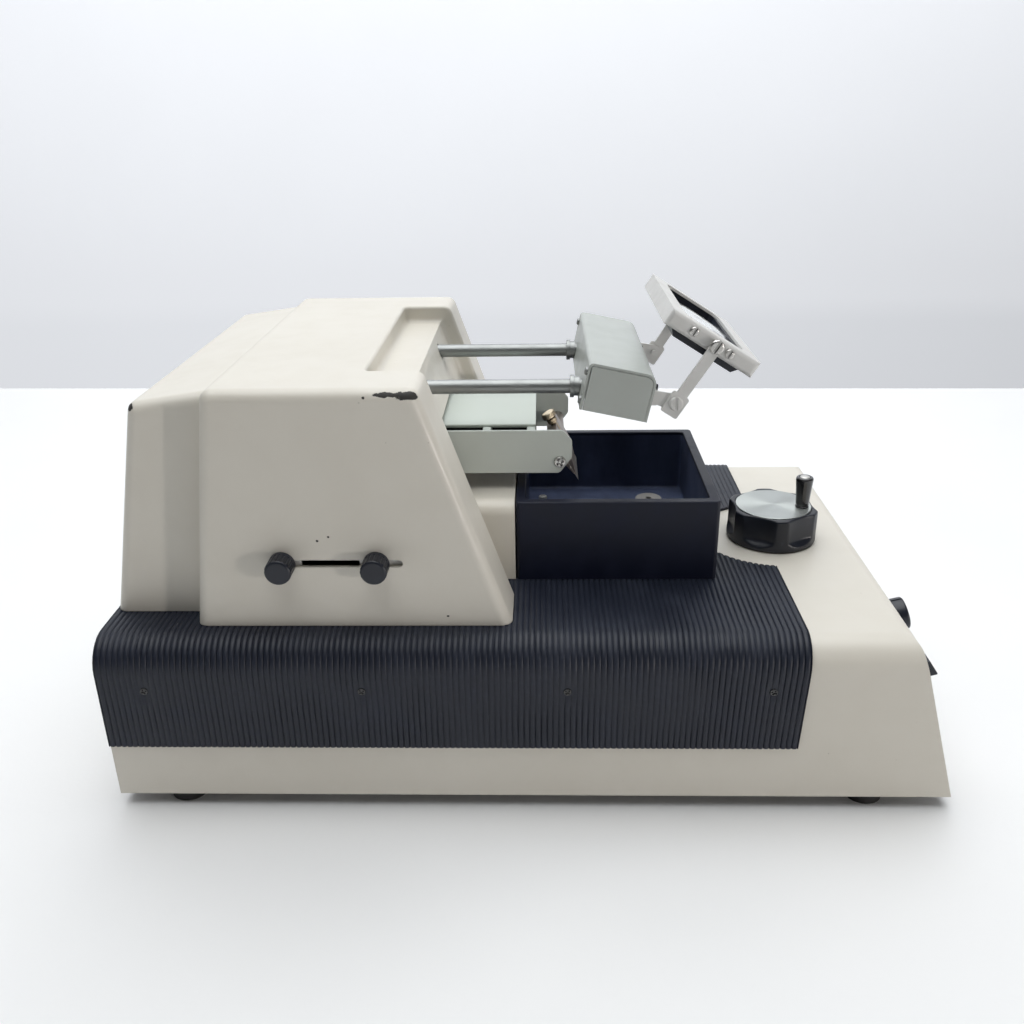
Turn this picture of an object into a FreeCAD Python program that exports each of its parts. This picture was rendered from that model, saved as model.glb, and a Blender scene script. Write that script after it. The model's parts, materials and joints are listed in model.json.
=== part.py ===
import FreeCAD, Part
import math
import os

# Vibrating-blade tissue sectioner. Millimetres, +Z up. The origin is at floor level under the middle of
# the base; +X runs from the mains inlet to the control panel, and the instrument is symmetric about Y = 0
# except for its controls.

# ---- base -----------------------------------------------------------------------------------------
LENGTH = 460.0
HALF_LENGTH = LENGTH / 2
HALF_WIDTH = 136.0
FOOT_HEIGHT = 8.0
BASE_TOP = 102.8
BASE_WALL = 2.0
PANEL_LEAN = 16.45
FEET = [(x, y) for x in (-195.5, 186.5) for y in (-122.0, 122.0)]
FOOT_RADIUS = 11.0
BASE_SIDE_RADIUS = 16.0
BASE_FRONT_RADIUS = 8.0
MAT = 2.0
MAT_TOP = BASE_TOP + MAT
MAT_FRONT = 146.3
MAT_BOTTOM = 41.0
MAT_SCREW_X = (-205.0, -88.7, 20.0, 127.5)
MAT_SCREW_Z = 76.5
MAT_SCREW_HEAD = 2.4
MAT_SCREW_SINK = 1.4

# ---- hood -----------------------------------------------------------------------------------------
HOOD_HALF = 117.0
HOOD_REAR_SIDES = (-101.0, 115.0)
HOOD_TOP = 235.0
HOOD_WALL = 3.0
HOOD_ROUND = 6.0
HOOD_FRONT_FOOT = -9.0
HOOD_FRONT_LEAN = 19.1
HOOD_STEP_FOOT = -179.0
HOOD_STEP_LEAN = 8.1
HOOD_REAR_FOOT = -229.0
HOOD_REAR_LEAN = 11.9
HOOD_REAR_TOP = 224.0
HOOD_REAR_PITCH = 8.0
RECESS_HALF = 80.0
RECESS_DEPTH = 10.6
RECESS_FLOOR = 224.0
RECESS_BACK = -84.0
SLOT_X = (-133.0, -65.5)
SLOT_Z = 141.8
SLOT_HEIGHT = 4.2
HOOD_BOSSES = [(-196.0, -90.0), (-196.0, 90.0), (-40.0, -103.0), (-40.0, 103.0)]
REAR_LIMIT_X = -128.6
FRONT_LIMIT_X = -79.3
LIMIT_KNOB_RADIUS = 7.0

# ---- bath and specimen lift ----------------------------------------------------------------------
BATH_X = (-7.8, 107.6)
BATH_HALF = 63.4
BATH_TOP = 153.3
BATH_WALL = 5.6
BATH_FLOOR = 113.0
BATH_CORNER = 2.5
BATH_SCREWS = [(7.6, -39.4), (7.6, 39.4)]
PLINTH_X = (-60.0, -8.5)
PLINTH_HALF = 63.0
PLINTH_TOP = 153.0
LIFT_X = 74.0
DISC_RADIUS = 8.3
DISC_TOP = 129.5
DISC_THICK = 5.0
COLUMN_RADIUS = 5.0
LIFT_SCREW_RADIUS = 4.0
PULLEY_Z = 60.0
PULLEY_HEIGHT = 10.0
PULLEY_RADIUS = 15.0

# ---- handwheel ------------------------------------------------------------------------------------
WHEEL_X = 152.4
WHEEL_Y = 0.0
WHEEL_RADIUS = 27.5
WHEEL_BOTTOM = 103.6
WHEEL_TOP = 124.5
WHEEL_DISC_RADIUS = 23.2
CRANK_OFFSET = (16.8, -4.5)
CRANK_HEIGHT = 20.0
MAT_RING_RADIUS = 46.5

# ---- carriage, arm and blade ----------------------------------------------------------------------
RAIL_Y = 50.0
RAIL_Z = 148.0
RAIL_RADIUS = 5.0
RAIL_X = (-196.0, -61.0)
RAIL_BLOCK = 7.0
CARRIAGE_X = (-162.0, -132.0)
SCREW_Z = 144.0
SCREW_RADIUS = 4.0
MOTOR_Z = 72.0
SCREW_PULLEY_RADIUS = 10.0
MOTOR_PULLEY_RADIUS = 8.0
DRIVE_BELT_X = (-206.0, -200.0)
ARM_PLATE_OUT = 43.5
ARM_PLATE = 2.0
ARM_PLATE_Z = (163.5, 189.0)
ARM_REAR = -128.0
ARM_FRONT = 24.3
CHANNEL_HALF = 34.0
CHANNEL_WALL_HALF = 25.0
CHANNEL_SKIN = 2.0
CHANNEL_REAR = -140.0
CHANNEL_FRONT = 3.6
CHANNEL_Z = (166.0, 190.0)
BLADE_PIVOT = (17.4, 170.2)
BLADE_LEAN = 60.6
BLADE_TIP = 23.9
BLADE_HALF = 19.5
VIBRATION = 0.6

# ---- lamp and magnifier ---------------------------------------------------------------------------
ROD_Y = 41.1
ROD_Z = 214.5
ROD_RADIUS = 3.97
ROD_X = (-140.0, 30.0)
LAMP_HALF = 65.0
LAMP_TILT = 12.0
LAMP_PIVOT = (27.2, 208.2)
LAMP_DEPTH = 37.4
LAMP_HEIGHT = 26.2
LAMP_SKIN = 1.4
LAMP_NOSE_RADIUS = 6.0
LAMP_BACK_RADIUS = 2.4
LAMP_SCREW_Y = LAMP_HALF - 5
LAMP_SCREWS = [(y, LAMP_HEIGHT * share) for y in (-LAMP_SCREW_Y, LAMP_SCREW_Y) for share in (0.16, 0.78)]
BUTTON_Y = (-44.0, 44.0)
BRACKET_Y = 56.0
LINK_THICK = 1.6
LOWER_PIVOT = (80.0, 208.9)
UPPER_PIVOT = (100.0, 240.0)
FRAME_LEAN = 32.3
FRAME_LENGTH = 57.0
FRAME_HEIGHT = 9.5
FRAME_HALF = 54.0
FRAME_SKIN = 1.6
FRAME_BORDER = 9.0
FRAME_BACK = -30.0
FRAME_FRONT = FRAME_BACK + FRAME_LENGTH
FRAME_UP = 4.4
FRAME_DOWN = FRAME_UP - FRAME_HEIGHT
LENS_HOUSING_HALF = 50.0

# ---- control panel and mains inlet ----------------------------------------------------------------
PANEL_KNOBS = ((-45.0, 68.0), (5.0, 48.0))
PANEL_ROCKERS = ((-107.0, 75.0), (60.0, 48.0))
TOGGLE_PLACE = (105.0, 48.0)
KNOB_SHAFT_RADIUS = 3.0
ROCKER_HALF = (7.0, 10.5)
TOGGLE_BUSH_RADIUS = 4.0
TOGGLE_BUSH_BORE = 2.6
TOGGLE_PIVOT_Z = 0.6
TOGGLE_PIN_RADIUS = 0.8
TOGGLE_PIN_REACH = 3.3
KNOB_RADIUS = 10.0
KNOB_HEIGHT = 15.0
ROCKER_PIN_Z = -0.6
ROCKER_PIN_RADIUS = 1.0
ROCKER_PIN_REACH = 9.8
PADDLE_LOW_END = 9.6
PADDLE_HIGH_END = 6.6
INLET_HALF = (14.0, 10.0)
INLET_Y = -80.0
INLET_Z = 52.0
FUSE_Y = -40.0
FUSE_RADIUS = 6.5
BELT_WELL = (DRIVE_BELT_X[0] - 4, DRIVE_BELT_X[1] + 2)

CLEARANCE = 0.05


# ---- helpers --------------------------------------------------------------------------------------
def vec(x, y, z):
    return FreeCAD.Vector(x, y, z)


X_AXIS = vec(1, 0, 0)
Y_AXIS = vec(0, 1, 0)
Z_AXIS = vec(0, 0, 1)


def box(x, y, z):
    """A block given by its (low, high) pair along each axis."""
    return Part.makeBox(x[1] - x[0], y[1] - y[0], z[1] - z[0], vec(x[0], y[0], z[0]))


def rod(start, axis, radius, length):
    return Part.makeCylinder(radius, length, start, axis)


def ring(start, axis, outer, inner, length):
    return rod(start, axis, outer, length).cut(rod(start, axis, inner, length))


def cone(start, axis, radius_a, radius_b, length):
    return Part.makeCone(radius_a, radius_b, length, start, axis)


def side_outline(points, y):
    """A prism with the (x, z) outline points, between the two y values."""
    corners = [vec(px, y[0], pz) for px, pz in points]
    face = Part.Face(Part.makePolygon(corners + corners[:1]))
    return face.extrude(vec(0, y[1] - y[0], 0))


def middle(edge):
    return edge.valueAt((edge.FirstParameter + edge.LastParameter) / 2)


def along(edge, axis):
    """True when a straight edge runs along the axis."""
    if edge.Curve.TypeId != "Part::GeomLine":
        return False
    return abs(abs(edge.tangentAt(edge.FirstParameter).dot(axis)) - 1) < 1e-6


def rounded(shape, radius, wanted):
    """The shape with the edges that wanted() picks rounded."""
    edges = [edge for edge in shape.Edges if wanted(edge)]
    return shape.makeFillet(radius, edges)


def rounded_along(shape, radius, *axes):
    return rounded(shape, radius, lambda edge: any(along(edge, axis) for axis in axes))


def moved(shape, x, y, z):
    result = shape.copy()
    result.translate(vec(x, y, z))
    return result


def fused(shapes):
    result = shapes[0]
    for shape in shapes[1:]:
        result = result.fuse(shape)
    return result.removeSplitter()


def cut_all(shape, tools):
    for tool in tools:
        shape = shape.cut(tool)
    return shape


def both_sides(make):
    """The two pieces make(side) for side = -1 and +1."""
    return Part.makeCompound([make(-1), make(1)])


def screw(head, axis, head_radius, head_height, shank_radius, shank_length, slot="cross"):
    """A pan-head screw: head is the centre of its seat, and axis points out of the head."""
    dome = rounded(
        rod(head, axis, head_radius, head_height),
        head_height * 0.6,
        lambda edge: (middle(edge) - head).dot(axis) > head_height * 0.9,
    )
    side = X_AXIS if abs(axis.dot(X_AXIS)) < 0.5 else Y_AXIS
    across = axis.cross(side)
    across.normalize()
    along_slot = across.cross(axis)
    cuts = [(across, along_slot)]
    if slot == "cross":
        cuts.append((along_slot, across))
    for direction, other in cuts:
        width = head_radius * 0.22
        reach = head_radius * (0.62 if slot == "cross" else 1.1)
        top = head + axis * (head_height * 1.1)
        corners = [
            top + direction * reach + other * width,
            top + direction * reach - other * width,
            top - direction * reach - other * width,
            top - direction * reach + other * width,
        ]
        groove = Part.Face(Part.makePolygon(corners + corners[:1])).extrude(axis * (-head_height * 0.6))
        dome = dome.cut(groove)
    return dome.fuse(rod(head, axis * -1, shank_radius, shank_length))


def front_at(z):
    """X of the control panel's outer face at height z."""
    return HALF_LENGTH - (z - FOOT_HEIGHT) * math.tan(math.radians(PANEL_LEAN))


def on_panel(shape, place):
    """Moves a shape built about the origin, with +Z outward, on to the sloped panel at place, (y, z)."""
    y, z = place
    result = shape.copy()
    result.rotate(vec(0, 0, 0), Y_AXIS, 90 - PANEL_LEAN)
    result.translate(vec(front_at(z), y, z))
    return result


# ---- base -----------------------------------------------------------------------------------------
def base_block(inset, radius_side, radius_front):
    """The base's outer form, or its hollow when inset by the wall."""
    slope = math.radians(PANEL_LEAN)
    top = BASE_TOP - inset
    shift = inset / math.cos(slope)
    low = FOOT_HEIGHT - (1 if inset else 0)
    points = [
        (-HALF_LENGTH + inset, low),
        (front_at(low) - shift, low),
        (front_at(top) - shift, top),
        (-HALF_LENGTH + inset, top),
    ]
    along_it = side_outline(points, (-HALF_WIDTH + inset, HALF_WIDTH - inset))
    along_it = rounded(
        along_it,
        radius_front,
        lambda edge: along(edge, Y_AXIS) and middle(edge).z > top - 0.01 and middle(edge).x > 100,
    )
    across_it = box((-HALF_LENGTH, HALF_LENGTH + 1), (-HALF_WIDTH + inset, HALF_WIDTH - inset), (low, top))
    across_it = rounded(
        across_it,
        radius_side,
        lambda edge: along(edge, X_AXIS) and middle(edge).z > top - 0.01,
    )
    return along_it.common(across_it)


def base_shell():
    shell = base_block(0, BASE_SIDE_RADIUS, BASE_FRONT_RADIUS)
    shell = shell.cut(base_block(BASE_WALL, BASE_SIDE_RADIUS - BASE_WALL, BASE_FRONT_RADIUS - BASE_WALL))
    tools = [
        rod(vec(LIFT_X, 0, 90), Z_AXIS, COLUMN_RADIUS + 3, 30),
        rod(vec(WHEEL_X, WHEEL_Y, 90), Z_AXIS, 7.0, 30),
        box(BELT_WELL, (-15, 15), (90, 110)),
        rod(vec(-100, 70, 90), Z_AXIS, 8.0, 30),
        box((-HALF_LENGTH - 1, -HALF_LENGTH + 5), (INLET_Y - INLET_HALF[0], INLET_Y + INLET_HALF[0]),
            (INLET_Z - INLET_HALF[1], INLET_Z + INLET_HALF[1])),
        rod(vec(-HALF_LENGTH - 1, FUSE_Y, INLET_Z), X_AXIS, FUSE_RADIUS, 6),
        on_panel(rod(vec(0, 0, -8), Z_AXIS, TOGGLE_BUSH_RADIUS, 16), TOGGLE_PLACE),
    ]
    for place in PANEL_KNOBS:
        tools.append(on_panel(rod(vec(0, 0, -8), Z_AXIS, KNOB_SHAFT_RADIUS + CLEARANCE, 16), place))
    for place in PANEL_ROCKERS:
        half_x, half_y = ROCKER_HALF
        tools.append(on_panel(box((-half_x, half_x), (-half_y, half_y), (-8, 8)), place))
    for x in MAT_SCREW_X:
        tools.append(rod(vec(x, -HALF_WIDTH - 5, MAT_SCREW_Z), Y_AXIS, 1.5, 2 * HALF_WIDTH + 10))
    for x, y in HOOD_BOSSES:
        tools.append(rod(vec(x, y, 95), Z_AXIS, 2.0, 20))
    return cut_all(shell, tools)


def bottom_plate():
    margin = BASE_WALL + 0.3
    rear = -HALF_LENGTH + margin
    front = front_at(FOOT_HEIGHT + 2) - margin - 0.3
    half = HALF_WIDTH - margin
    plate = box((rear, front), (-half, half), (FOOT_HEIGHT, FOOT_HEIGHT + 2))
    for i in range(9):
        x = 20 + 12 * i
        plate = plate.cut(box((x, x + 4), (-40, 40), (0, 20)))
    return cut_all(plate, [rod(vec(x, y, 0), Z_AXIS, 2.0, 20) for x, y in FEET])


def rubber_feet():
    feet = []
    for x, y in FEET:
        foot = cone(vec(x, y, 0), Z_AXIS, FOOT_RADIUS - 0.6, FOOT_RADIUS, FOOT_HEIGHT)
        foot = foot.cut(rod(vec(x, y, -1), Z_AXIS, 4.5, 4.5))
        feet.append(foot.cut(rod(vec(x, y, 0), Z_AXIS, 2.0, 20)))
    return Part.makeCompound(feet)


def foot_screws():
    return Part.makeCompound([screw(vec(x, y, 3.5), Z_AXIS * -1, 3.6, 2.2, 2.0, 9.0) for x, y in FEET])


def ribbed_mat():
    """The covering that wraps the top and both sides, with its ring cut out round the handwheel."""
    lean = 3.0 / (MAT_TOP - MAT_BOTTOM)

    def wrap(half, top, radius):
        points = [
            (-HALF_LENGTH, MAT_BOTTOM),
            (MAT_FRONT - lean * (MAT_TOP - MAT_BOTTOM), MAT_BOTTOM),
            (MAT_FRONT, top),
            (-HALF_LENGTH, top),
        ]
        block = side_outline(points, (-half, half))
        return rounded(block, radius, lambda edge: along(edge, X_AXIS) and middle(edge).z > top - 0.01)

    mat = wrap(HALF_WIDTH + MAT, MAT_TOP, BASE_SIDE_RADIUS + MAT)
    mat = rounded(mat, 4.0, lambda edge: along(edge, Y_AXIS) and middle(edge).z < MAT_BOTTOM + 0.01
                  and middle(edge).x > 100)
    mat = mat.cut(box((-HALF_LENGTH - 1, MAT_FRONT + 1), (-HALF_WIDTH, HALF_WIDTH), (0, BASE_TOP - 20)))
    mat = mat.cut(wrap(HALF_WIDTH, BASE_TOP, BASE_SIDE_RADIUS))
    tools = [
        rod(vec(WHEEL_X, WHEEL_Y, 90), Z_AXIS, MAT_RING_RADIUS, 30),
        box((-216, -22), (-94, 94), (90, 120)),
        rod(vec(LIFT_X, 0, 90), Z_AXIS, COLUMN_RADIUS + 3, 30),
    ]
    for x in MAT_SCREW_X:
        tools.append(rod(vec(x, -HALF_WIDTH - 5, MAT_SCREW_Z), Y_AXIS, 1.5, 2 * HALF_WIDTH + 10))
        for side in (-1, 1):
            dimple = vec(x, side * (HALF_WIDTH + MAT - MAT_SCREW_SINK), MAT_SCREW_Z)
            tools.append(rod(dimple, Y_AXIS * side, MAT_SCREW_HEAD + 0.1, MAT))
    for x, y in HOOD_BOSSES:
        tools.append(rod(vec(x, y, 95), Z_AXIS, 2.0, 20))
    return cut_all(mat, tools)


def mat_screws():
    screws = []
    for side in (-1, 1):
        for x in MAT_SCREW_X:
            seat = vec(x, side * (HALF_WIDTH + MAT - MAT_SCREW_SINK), MAT_SCREW_Z)
            screws.append(screw(seat, Y_AXIS * side, MAT_SCREW_HEAD, 1.2, 1.5, 5.0))
    return Part.makeCompound(screws)


# ---- hood -----------------------------------------------------------------------------------------
def lean(foot, degrees, z):
    """X at height z of a wall that stands at foot on the mat and leans by degrees."""
    return foot + (z - MAT_TOP) * math.tan(math.radians(degrees))


def hood_body(inset):
    """The hood's outer form, or its hollow when inset by the wall."""
    low = MAT_TOP - (1 if inset else 0)
    top = HOOD_TOP - inset
    front = HOOD_FRONT_FOOT - inset / math.cos(math.radians(HOOD_FRONT_LEAN))
    step = HOOD_STEP_FOOT + inset / math.cos(math.radians(HOOD_STEP_LEAN))
    rear = HOOD_REAR_FOOT + inset / math.cos(math.radians(HOOD_REAR_LEAN))
    radius = HOOD_ROUND - inset
    wide = side_outline(
        [
            (lean(step, HOOD_STEP_LEAN, low), low),
            (lean(front, -HOOD_FRONT_LEAN, low), low),
            (lean(front, -HOOD_FRONT_LEAN, top), top),
            (lean(step, HOOD_STEP_LEAN, top), top),
        ],
        (-HOOD_HALF + inset, HOOD_HALF - inset),
    )
    wide = rounded(wide, radius, lambda edge: middle(edge).z > low + 1)
    rear_top = HOOD_REAR_TOP - inset
    inner = HOOD_STEP_FOOT + 40
    run = inner - lean(rear, HOOD_REAR_LEAN, rear_top)
    inner_top = rear_top + run * math.tan(math.radians(HOOD_REAR_PITCH))
    narrow = side_outline(
        [
            (lean(rear, HOOD_REAR_LEAN, low), low),
            (inner, low),
            (inner, inner_top),
            (lean(rear, HOOD_REAR_LEAN, rear_top), rear_top),
        ],
        (HOOD_REAR_SIDES[0] + inset, HOOD_REAR_SIDES[1] - inset),
    )
    narrow = rounded(narrow, radius, lambda edge: middle(edge).z > low + 1 and middle(edge).x < inner - 1)
    return wide.fuse(narrow)


def recess_tool(grow):
    """The space in front of and above the hood's sunken middle."""
    front = HOOD_FRONT_FOOT - RECESS_DEPTH - grow / math.cos(math.radians(HOOD_FRONT_LEAN))
    floor = RECESS_FLOOR - grow
    back = RECESS_BACK - grow
    tool = side_outline(
        [
            (lean(front, -HOOD_FRONT_LEAN, 90), 90),
            (lean(front, -HOOD_FRONT_LEAN, floor), floor),
            (back, floor),
            (back, HOOD_TOP + 10),
            (20, HOOD_TOP + 10),
            (20, 90),
        ],
        (-RECESS_HALF - grow, RECESS_HALF + grow),
    )
    if grow:
        return tool

    def is_corner(edge):
        spot = middle(edge)
        beside = abs(abs(spot.y) - RECESS_HALF) < 0.01 and spot.x < 0 and spot.z < HOOD_TOP + 5
        behind = abs(spot.y) < 0.01 and abs(spot.x - back) < 0.01 and spot.z < HOOD_TOP
        return beside or behind

    return rounded(tool, 3.5, is_corner)


def hood_shell():
    outer = hood_body(0).cut(recess_tool(0))
    rims = [
        edge
        for edge in outer.Edges
        if abs(edge.BoundBox.ZMin - HOOD_TOP) < 0.01
        and edge.BoundBox.XMin > RECESS_BACK - 0.5
        and abs(middle(edge).y) < RECESS_HALF + 0.5
        and edge.Length > 8
    ]
    outer = outer.makeFillet(2.0, rims) if rims else outer
    shell = outer.cut(hood_body(HOOD_WALL).cut(recess_tool(HOOD_WALL)))
    bosses = [rod(vec(x, y, MAT_TOP), Z_AXIS, 6.0, 22) for x, y in HOOD_BOSSES]
    webs = [
        box((-199, -193), (-99, -90), (MAT_TOP, 122)),
        box((-199, -193), (90, 99), (MAT_TOP, 122)),
        box((-43, -37), (-115, -103), (MAT_TOP, 122)),
        box((-43, -37), (103, 115), (MAT_TOP, 122)),
    ]
    shell = fused([shell] + bosses + webs)
    half_slot = SLOT_HEIGHT / 2
    slot = box(SLOT_X, (-HOOD_HALF - 1, -HOOD_HALF + 5), (SLOT_Z - half_slot, SLOT_Z + half_slot))
    tools = [
        rounded_along(slot, half_slot * 0.98, Y_AXIS),
        box((-70, 20), (-50, 50), (PLINTH_TOP + 0.6, 193.5)),
        box((-70, 20), (-PLINTH_HALF - 0.5, PLINTH_HALF + 0.5), (90, PLINTH_TOP + 0.6)),
    ]
    for x, y in HOOD_BOSSES:
        tools.append(rod(vec(x, y, 100), Z_AXIS, 1.6, 20))
    for y in (-ROD_Y, ROD_Y):
        tools.append(rod(vec(-90, y, ROD_Z), X_AXIS, ROD_RADIUS + 0.6, 80))
    return cut_all(shell, tools)


def hood_screws():
    seat = BASE_TOP - BASE_WALL
    screws = [screw(vec(x, y, seat), Z_AXIS * -1, 3.6, 2.2, 1.6, 14.0) for x, y in HOOD_BOSSES]
    return Part.makeCompound(screws)


def plinth_cover():
    """The open-bottomed box that stands behind the bath and runs back into the hood."""
    block = box(PLINTH_X, (-PLINTH_HALF, PLINTH_HALF), (MAT_TOP, PLINTH_TOP))
    block = rounded(block, 8.0, lambda edge: along(edge, X_AXIS) and middle(edge).z > PLINTH_TOP - 0.01)
    inner = box((PLINTH_X[0] + 2.5, PLINTH_X[1] - 2.5), (-PLINTH_HALF + 2.5, PLINTH_HALF - 2.5),
                (MAT_TOP - 1, PLINTH_TOP - 2.5))
    inner = rounded(inner, 5.5, lambda edge: along(edge, X_AXIS) and middle(edge).z > PLINTH_TOP - 3)
    return block.cut(inner)


# ---- bath and specimen lift ----------------------------------------------------------------------
def bath_tray():
    outer = box(BATH_X, (-BATH_HALF, BATH_HALF), (MAT_TOP, BATH_TOP))
    outer = rounded_along(outer, 2.5, Z_AXIS)
    half = BATH_HALF - BATH_WALL
    hollow = box((BATH_X[0] + BATH_WALL, BATH_X[1] - BATH_WALL), (-half, half), (BATH_FLOOR, BATH_TOP + 10))
    hollow = rounded_along(hollow, BATH_CORNER, Z_AXIS)
    hollow = rounded(hollow, BATH_CORNER - 0.5, lambda edge: edge.BoundBox.ZMax < BATH_FLOOR + 0.01)
    tray = outer.cut(hollow)
    rim = [edge for edge in tray.Edges if edge.BoundBox.ZMin > BATH_TOP - 0.01]
    tray = tray.makeFillet(0.8, rim)
    tools = [rod(vec(LIFT_X, 0, 90), Z_AXIS, COLUMN_RADIUS + 3, 40)]
    tools += [rod(vec(x, y, 90), Z_AXIS, 1.6, 40) for x, y in BATH_SCREWS]
    return cut_all(tray, tools)


def bath_screws():
    screws = [screw(vec(x, y, BATH_FLOOR), Z_AXIS, 2.9, 2.2, 1.6, 7.0) for x, y in BATH_SCREWS]
    return Part.makeCompound(screws)


def column_seal():
    """The flanged sleeve that keeps the bath's liquid in round the lift column."""
    bore = COLUMN_RADIUS + CLEARANCE
    low = BASE_TOP - BASE_WALL - 4
    top = BATH_FLOOR + 1.2
    sleeve = ring(vec(LIFT_X, 0, low), Z_AXIS, COLUMN_RADIUS + 3, bore, top - low)
    flange = ring(vec(LIFT_X, 0, BATH_FLOOR), Z_AXIS, COLUMN_RADIUS + 5, bore, top - BATH_FLOOR)
    return fused([sleeve, flange])


def specimen_disc():
    disc = rod(vec(LIFT_X, 0, DISC_TOP - DISC_THICK), Z_AXIS, DISC_RADIUS, DISC_THICK)
    disc = disc.makeChamfer(0.5, [edge for edge in disc.Edges if edge.BoundBox.ZMin > DISC_TOP - 0.01])
    return disc.cut(rod(vec(LIFT_X, 0, DISC_TOP - 3), Z_AXIS, 1.8, 10))


def lift_column():
    low = PULLEY_Z - 14
    smooth = rod(vec(LIFT_X, 0, 90), Z_AXIS, COLUMN_RADIUS, DISC_TOP - DISC_THICK - 90)
    return fused([smooth, rod(vec(LIFT_X, 0, low), Z_AXIS, LIFT_SCREW_RADIUS, 90 - low)])


def toothed_pulley(start, axis, radius, length, bore, teeth):
    """A pulley with shallow grooves and a flange at its foot."""
    body = rod(start, axis, radius, length)
    side = X_AXIS if abs(axis.dot(X_AXIS)) < 0.5 else Y_AXIS
    grooves = []
    for i in range(teeth):
        groove = rod(start + side * (radius + 0.35), axis, 0.75, length)
        groove.rotate(start, axis, 360.0 * i / teeth)
        grooves.append(groove)
    body = body.cut(Part.makeCompound(grooves))
    body = body.fuse(rod(start - axis * 1.2, axis, radius + 1.6, 1.2))
    return body.cut(rod(start - axis * 5, axis, bore, length + 10))


def lift_pulley():
    start = vec(LIFT_X, 0, PULLEY_Z)
    pulley = toothed_pulley(start, Z_AXIS, PULLEY_RADIUS, PULLEY_HEIGHT, LIFT_SCREW_RADIUS + CLEARANCE, 30)
    collar = ring(vec(LIFT_X, 0, PULLEY_Z + PULLEY_HEIGHT), Z_AXIS, 8.0, LIFT_SCREW_RADIUS + CLEARANCE, 6)
    return fused([pulley, collar])


def belt_loop(centre_a, centre_b, axis, radius, other_radius, width, thick):
    """A belt round two pulleys of nearly equal size, as the skin of two discs and their common tangents."""
    def hull(extra):
        line = centre_b - centre_a
        length = line.Length
        line.normalize()
        across = axis.cross(line)
        turn = math.asin((radius - other_radius) / length)
        normal = line * math.sin(turn) + across * math.cos(turn)
        mirror = line * math.sin(turn) - across * math.cos(turn)
        a = radius + extra
        b = other_radius + extra
        corners = [centre_a + normal * a, centre_b + normal * b, centre_b + mirror * b, centre_a + mirror * a]
        web = Part.Face(Part.makePolygon(corners + corners[:1])).extrude(axis * width)
        return web.fuse(rod(centre_a, axis, a, width)).fuse(rod(centre_b, axis, b, width)).removeSplitter()

    return hull(thick).cut(hull(0))


def lift_belt():
    z = PULLEY_Z + 1.5
    return belt_loop(vec(WHEEL_X, WHEEL_Y, z), vec(LIFT_X, 0, z), Z_AXIS, PULLEY_RADIUS + CLEARANCE,
                     PULLEY_RADIUS + CLEARANCE, 7.0, 1.4)


def lift_bracket():
    """The plate hung under the top of the base that carries the two pulleys' bearings."""
    roof = BASE_TOP - BASE_WALL
    deck = PULLEY_Z + PULLEY_HEIGHT + 7
    plate = box((LIFT_X - 24, WHEEL_X + 20), (-22, 22), (deck, deck + 3))
    hangers = [
        box((LIFT_X - 24, LIFT_X - 21), (-22, 22), (deck, roof)),
        box((WHEEL_X + 17, WHEEL_X + 20), (-22, 22), (deck, roof)),
    ]
    tools = [
        rod(vec(LIFT_X, 0, deck - 1), Z_AXIS, COLUMN_RADIUS + 1, 20),
        rod(vec(WHEEL_X, WHEEL_Y, deck - 1), Z_AXIS, 5.0, 20),
    ]
    return cut_all(fused([plate] + hangers), tools)


# ---- handwheel ------------------------------------------------------------------------------------
def handwheel_skirt():
    """The moulded knob: a round skirt with finger scallops that fade out towards its foot."""
    centre = vec(WHEEL_X, WHEEL_Y, WHEEL_BOTTOM)
    height = WHEEL_TOP - WHEEL_BOTTOM
    skirt = rod(centre, Z_AXIS, WHEEL_RADIUS, height)
    skirt = rounded(skirt, 1.6, lambda edge: edge.BoundBox.ZMin > WHEEL_TOP - 0.01)
    scallops = []
    for i in range(6):
        tool = rod(vec(0, 0, 0), Z_AXIS, 11.0, height * 1.6)
        tool.rotate(vec(0, 0, 0), Y_AXIS, -9)
        tool.translate(vec(WHEEL_RADIUS + 9.6, 0, -2))
        tool.rotate(vec(0, 0, 0), Z_AXIS, 60 * i + 25)
        tool.translate(centre)
        scallops.append(tool)
    skirt = cut_all(skirt, scallops)
    well = rod(vec(WHEEL_X, WHEEL_Y, WHEEL_TOP - 1.2), Z_AXIS, WHEEL_DISC_RADIUS, 5)
    hollow = ring(vec(WHEEL_X, WHEEL_Y, WHEEL_BOTTOM - 1), Z_AXIS, WHEEL_RADIUS - 8.5, 9.0, height - 5)
    shaft = rod(vec(WHEEL_X, WHEEL_Y, WHEEL_BOTTOM - 1), Z_AXIS, 4.0, height - 4)
    return cut_all(skirt, [well, hollow, shaft])


def handwheel_disc():
    disc = rod(vec(WHEEL_X, WHEEL_Y, WHEEL_TOP - 1.2), Z_AXIS, WHEEL_DISC_RADIUS, 1.6)
    disc = disc.makeChamfer(0.3, [edge for edge in disc.Edges if edge.BoundBox.ZMin > WHEEL_TOP + 0.3])
    return disc.cut(rod(crank_foot(), Z_AXIS, 2.0, 5))


def crank_foot():
    return vec(WHEEL_X + CRANK_OFFSET[0], WHEEL_Y + CRANK_OFFSET[1], WHEEL_TOP - 1.2)


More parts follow.
